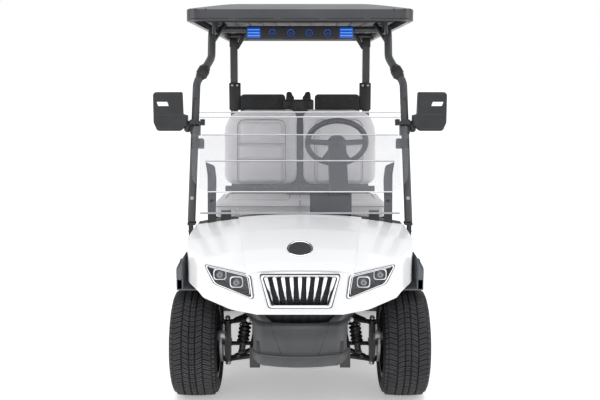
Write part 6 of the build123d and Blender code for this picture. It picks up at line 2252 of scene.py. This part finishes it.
    def shell(self) -> None:
        """Makes the shell's headrest panels' eyelets and borders, and the seat's dark foot."""
        smooth_copy("seat_shell", "back_shell", Finishes.BLACK_PLASTIC, 28.0, 0.003)
        border = Shape()
        eyes = Shape()
        for x in (0.16, 0.345):
            seat = self.back_point(x, 0.598, -0.105)
            eyes.ring([(0.0, 0.007), (0.0022, 0.008), (0.0022, 0.0105), (0.0, 0.0115)], seat,
                      tuple(-v for v in self.facing_back()), 32)
        for low, high in ((0.548, 0.5505), (0.6215, 0.624)):
            plane = self.back_plane(-0.1045)
            corners = rounded([(0.116, low), (0.388, low), (0.388, high), (0.116, high)], 0.001, 2)
            border.plate(corners, -0.0012, plane, 0.0, 1)
        eyes.mirrored().piece("panel_eyelets", Finishes.CHARCOAL)
        border.mirrored().piece("panel_borders", Finishes.CHARCOAL)
        lip = Shape()
        lip.block((0.0, behind(1.278), 0.9215), (0.985, 0.026, 0.043), 0.006, 3)
        lip.piece("bench_rear_lip", Finishes.BLACK_PLASTIC, "front_bench")

    def belts(self) -> None:
        """Makes the belts' retractor pods between the backs, with their tongues."""
        pods = Shape()
        for x, lean in ((-0.064, -0.01), (0.043, 0.01)):
            corners = [(x - 0.03, 0.47), (x + 0.03, 0.47), (x + 0.034, 0.56), (x + lean + 0.016, 0.64),
                       (x + lean - 0.016, 0.64), (x - 0.034, 0.56)]
            pods.plate(rounded(corners, 0.018, 4), 0.046, self.back_plane(-0.052), 0.008, 3)
            pods.block(self.back_point(x + lean * 0.6, 0.592, -0.05), (0.026, 0.006, 0.01), 0.002)
        pods.block(self.back_point(-0.0105, 0.53, -0.078), (0.205, 0.04, 0.12), 0.012, 3)
        pods.piece("belt_retractors", Finishes.BLACK_PLASTIC)
        tongues = Shape()
        for x in (-0.066, 0.045):
            tongues.block(self.back_point(x, 0.548, -0.0485), (0.03, 0.004, 0.044), 0.0015)
        tongues.piece("belt_webbing", Finishes.WEBBING)


@dataclass
class RearSeats:
    """The rear-facing seat: two backs and a cushion that flips, with their piping."""

    def build(self) -> None:
        """Makes the rear seat."""
        work = Upholstery(voxel=0.0085, cap=0.006)
        plane = Matrix(((1, 0, 0), (0, 0, -1), (0, 1, 0))).to_4x4()
        plane.translation = Vector((0, behind(1.61), 0))
        for hand, way in (("left", 1), ("right", -1)):
            corners = rounded([(0.01, 0.925), (0.4185, 0.925), (0.4185, 1.396), (0.01, 1.396)], 0.055, 6)
            outline = [(way * u, v) for u, v in corners]
            blank = PadBlank(outline if way > 0 else outline[::-1], 0.064, plane, 0.02)
            work.stuff(f"rear_back_{hand}", blank.mesh("blank", 0.001), Finishes.SEAT, "cart",
                       ("rear_seat_back",),
                       (Vector((0, behind(1.5425), 0)), Vector((0, 1, 0))))
        outline = [(behind(1.626), 0.796), (behind(1.626), 0.886), (behind(1.65), 0.896),
                   (behind(2.01), 0.896),
                   (behind(2.035), 0.88), (behind(2.035), 0.796)]
        side = Matrix(((0, 0, 1), (1, 0, 0), (0, 1, 0))).to_4x4()
        side.translation = Vector((-0.496, 0, 0))
        blank = PadBlank(rounded(outline, 0.018, 4), 0.992, side, 0.014)
        Upholstery(voxel=0.011, cap=0.004).stuff(
            "rear_pad", blank.mesh("blank", 0.001), Finishes.SEAT, "rear_flip_seat", ("rear_seat_cushion",),
            (Vector((0, 0, 0.7905)), Vector((0, 0, 1))))
        piping = Shape()
        for way in (1, -1):
            corners = rounded([(0.055, 0.965), (0.372, 0.965), (0.372, 1.35), (0.055, 1.35)], 0.045, 6)
            corners = [corners[k % len(corners)] for k in range(len(corners) + 1)]
            piping.hose([(way * u, behind(1.6155), v) for u, v in corners], 0.0034, 8)
        piping.piece("rear_back_piping", Finishes.PIPING)
        seat = Shape()
        for way in (1, -1):
            corners = rounded([(0.05, behind(1.69)), (0.45, behind(1.69)), (0.45, behind(1.995)),
                               (0.05, behind(1.995))], 0.04, 6)
            corners = [corners[k % len(corners)] for k in range(len(corners) + 1)]
            seat.hose([(way * u, v, 0.8995) for u, v in corners], 0.003, 8)
        seat.piece("rear_pad_piping", Finishes.PIPING, "rear_flip_seat")


@dataclass
class Cabin:
    """The dash, the wheel's hub, the pedals' pads, the floor's ribs and the pedestal's trim."""

    column_lean: float = math.radians(39.0)
    wheel_centre: Point = (0.216, behind(0.7), 1.27)

    def build(self) -> None:
        """Makes the cabin's pieces."""
        smooth_copy("dashboard", "dash_moulding", Finishes.BLACK_PLASTIC, 26.0, 0.002)
        smooth_copy("steering_column", "column_shroud", Finishes.BLACK_PLASTIC, 26.0, 0.002)
        self.wheel_rim()
        PAINT.dress_node("pedals", Finishes.STEEL)
        PAINT.dress_node("floor_pan", Finishes.RUBBER)
        smooth_copy("seat_pedestal", "pedestal_panels", Finishes.BLACK_PLASTIC, 26.0, 0.002)
        PAINT.dress_node("battery_block", Finishes.BLACK_PLASTIC)
        self.floor_ribs()
        self.pedal_pads()
        self.gauge()
        self.wheel_hub()
        self.battery_dress()

    def wheel_rim(self) -> None:
        """Makes the hand wheel with its thick wrapped rim and padded arms."""
        form = merged_form("steering_wheel")
        form.bm.normal_update()
        moves = [(vert, vert.normal * 0.0032) for vert in form.bm.verts]
        for vert, move in moves:
            vert.co += move
        form.piece("wheel_rim_and_spokes", Finishes.BLACK_PLASTIC, "hand_wheel", 40.0, ("steering_wheel",))

    def floor_ribs(self) -> None:
        """Makes the mat's ribs."""
        ribs = Shape()
        for place in range(22):
            x = -0.5 + place * (1.0 / 21)
            ribs.block((x, behind(0.745), 0.3692), (0.016, 0.39, 0.0036), 0.0012, 1)
        ribs.piece("floor_mat_ribs", Finishes.RUBBER)

    def pedal_pads(self) -> None:
        """Makes the ribbed rubber of both pedals."""
        low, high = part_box("pedals")
        pads = Shape()
        face = low[1]
        for left, right in ((low[0], low[0] + 0.088), (high[0] - 0.062, high[0])):
            for row in range(6):
                pads.block(((left + right) / 2, face - 0.0012, low[2] + 0.012 + row * 0.0145),
                           (right - left - 0.014, 0.003, 0.008), 0.001, 1)
        pads.piece("pedal_pads", Finishes.RUBBER)

    def gauge(self) -> None:
        """Makes the gauge's bezel and glass, the key switch and the dash's tray lips."""
        bezel = Shape()
        face = Shape()
        seat = (0.171, behind(0.4808), 0.972)
        bezel.ring([(0.0, 0.036), (0.006, 0.038), (0.008, 0.042), (0.005, 0.046), (0.0, 0.047)], seat,
                   (0, 1, 0), 56)
        face.ring([(0.0, 0.037), (0.003, 0.036), (0.0042, 0.018), (0.0045, 0.0)], seat, (0, 1, 0), 48,
                  closed=False)
        bezel.piece("gauge_bezel", Finishes.CHROME)
        face.piece("gauge_face", Finishes.SMOKED_CHROME)
        key = Shape()
        for x, radius in ((-0.04, 0.013), (-0.09, 0.01), (-0.13, 0.01)):
            key.ring([(0.0, 0.0), (0.006, 0.0), (0.006, radius * 0.55), (0.003, radius * 0.7),
                      (0.003, radius),
                      (0.0, radius * 1.1)], (x, behind(0.4905), 0.842), (0, 1, 0), 32, closed=False)
        key.piece("dash_switches", Finishes.STEEL)
        tray = Shape()
        for x in (-0.33, 0.4):
            tray.block((x, behind(0.4895), 0.8), (0.2, 0.006, 0.012), 0.003)
            tray.block((x, behind(0.4895), 0.725), (0.2, 0.006, 0.01), 0.003)
        tray.piece("dash_tray_lips", Finishes.CHARCOAL)

    def wheel_hub(self) -> None:
        """Makes the wheel's bare hub pad with its bright ring."""
        axis = Vector((0, math.cos(self.column_lean), math.sin(self.column_lean)))
        centre = Vector(self.wheel_centre)
        pad = Shape()
        pad.ring([(-0.012, 0.052), (0.002, 0.056), (0.01, 0.052), (0.015, 0.04), (0.0175, 0.0)],
                 tuple(centre), tuple(axis), 48, closed=False)
        pad.piece("wheel_hub_pad", Finishes.BLACK_PLASTIC, "hand_wheel")
        ring = Shape()
        ring.ring([(0.0125, 0.03), (0.0178, 0.031), (0.0182, 0.034), (0.013, 0.0355)], tuple(centre),
                  tuple(axis), 48)
        ring.piece("wheel_hub_ring", Finishes.SMOKED_CHROME, "hand_wheel")

    def battery_dress(self) -> None:
        """Makes the battery's lids and terminals."""
        low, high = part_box("battery_block")
        caps = Shape()
        for place in range(6):
            x = low[0] + (high[0] - low[0]) * (place + 0.5) / 6
            caps.block((x, (low[1] + high[1]) / 2, high[2] + 0.002), (0.092, high[1] - low[1] - 0.02, 0.006),
                       0.002)
            caps.bar((x - 0.028, low[1] + 0.03, high[2] + 0.003),
                     (x - 0.028, low[1] + 0.03, high[2] + 0.014), 0.006, 16)
            caps.bar((x + 0.028, low[1] + 0.03, high[2] + 0.003),
                     (x + 0.028, low[1] + 0.03, high[2] + 0.014), 0.006, 16)
        caps.piece("battery_lids", Finishes.CHARCOAL)


# ---------------------------------------------------------------- rear
@dataclass
class RearBody:
    """The rear body, its lamps, plate, seat hinges and footrest."""

    end: float = behind(2.045)

    def build(self) -> None:
        """Makes the rear's pieces."""
        smooth_copy("rear_body", "rear_tub", Finishes.BODY_WHITE, 26.0, 0.0012)
        smooth_copy("rear_footrest", "footrest_frame", Finishes.BLACK_PLASTIC, 28.0, 0.0015)
        PAINT.dress_node("tail_lamps", Finishes.RED_LENS)
        self.lamps()
        self.plate()
        self.footrest_ribs()
        self.hinges()

    def lamps(self) -> None:
        """Makes the tail lamps' bezels, ribs and amber parts."""
        bezel = Shape()
        amber = Shape()
        ribs = Shape()
        outline = rounded([(0.504, 0.636), (0.564, 0.636), (0.564, 0.754), (0.504, 0.754)], 0.014, 4)
        inner = rounded([(0.51, 0.642), (0.558, 0.642), (0.558, 0.748), (0.51, 0.748)], 0.011, 4)
        loops = []
        for y, line in ((self.end + 0.0005, outline), (self.end + 0.0145, outline),
                        (self.end + 0.0175, inner),
                        (self.end + 0.01, inner)):
            loops.append([bezel.bm.verts.new((u, y, v)) for u, v in line])
        edges = [[bezel.bm.edges.new((loop[k - 1], loop[k])) for k in range(len(loop))] for loop in loops]
        for first, second in zip(edges, edges[1:] + edges[:1]):
            bmesh.ops.bridge_loops(bezel.bm, edges=first + second)
        amber.block((0.534, self.end + 0.0165, 0.668), (0.04, 0.006, 0.034), 0.003)
        for row in range(5):
            ribs.block((0.534, self.end + 0.0168, 0.697 + row * 0.0105), (0.038, 0.003, 0.0045), 0.001, 1)
        for shape, name, finish in ((bezel, "tail_lamp_bezels", Finishes.SMOKED_CHROME),
                                    (amber, "tail_lamp_ambers", Finishes.AMBER_LENS),
                                    (ribs, "tail_lamp_ribs", Finishes.RED_LENS)):
            shape.mirrored().piece(name, finish)

    def plate(self) -> None:
        """Makes the bare number plate with its holder and bolts."""
        holder = Shape()
        holder.block((0.0, self.end + 0.0025, 0.66), (0.33, 0.006, 0.14), 0.0028)
        holder.piece("plate_holder", Finishes.BLACK_PLASTIC)
        plate = Shape()
        plate.block((0.0, self.end + 0.0065, 0.66), (0.304, 0.003, 0.114), 0.001, 1)
        plate.piece("bare_plate", Finishes.WHITE_LABEL)
        bolts = Shape()
        for x in (-0.13, 0.13):
            add_bolt(bolts, Bolt.M6, (x, self.end + 0.008, 0.704), (0, 1, 0))
        bolts.piece("plate_bolts", Finishes.STEEL)

    def footrest_ribs(self) -> None:
        """Makes the footrest's grip ribs."""
        ribs = Shape()
        for place in range(14):
            ribs.block((0.0, behind(2.098) + place * 0.0155, 0.4405), (0.8, 0.007, 0.003), 0.001, 1)
        ribs.piece("footrest_ribs", Finishes.RUBBER)

    def hinges(self) -> None:
        """Makes the flip seat's fixed and turning hinge knuckles."""
        fixed = Shape()
        for x in (0.36, 0.18):
            fixed.block((x, behind(2.0475), 0.778), (0.05, 0.005, 0.03), 0.001, 1)
            fixed.bar((x - 0.025, behind(2.053), 0.794), (x - 0.008, behind(2.053), 0.794), 0.006, 20,
                      0.0006)
            fixed.bar((x + 0.008, behind(2.053), 0.794), (x + 0.025, behind(2.053), 0.794), 0.006, 20,
                      0.0006)
        fixed.mirrored().piece("flip_hinges_fixed", Finishes.STEEL)
        turning = Shape()
        for x in (0.36, 0.18):
            turning.bar((x - 0.0075, behind(2.053), 0.794), (x + 0.0075, behind(2.053), 0.794), 0.006, 20,
                        0.0006)
        turning.mirrored().piece("flip_hinges_turning", Finishes.STEEL, "rear_flip_seat")


# ---------------------------------------------------------------- the whole cart
def main() -> None:
    """Builds the studio and every sub-assembly."""
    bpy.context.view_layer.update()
    Studio().build()
    tyre = TyreTread().build()
    for end in ("front", "rear"):
        for hand in ("left", "right"):
            RoadWheel().build(end, hand, tyre)
    RunningGear().build()
    Nose().build()
    Headlamp().build()
    FrontBumper().build()
    Windshield().build()
    DoorMirror().build()
    Canopy().build()
    SoundBar().build()
    FrontSeats().build()
    RearSeats().build()
    Cabin().build()
    RearBody().build()
    for node in frame["nodes"]:
        if not frame["nodes"][node].hide_render:
            log.info("node %s", node)


if __name__ == "__main__":
    logging.basicConfig(level=logging.INFO, format="%(message)s")
    main()
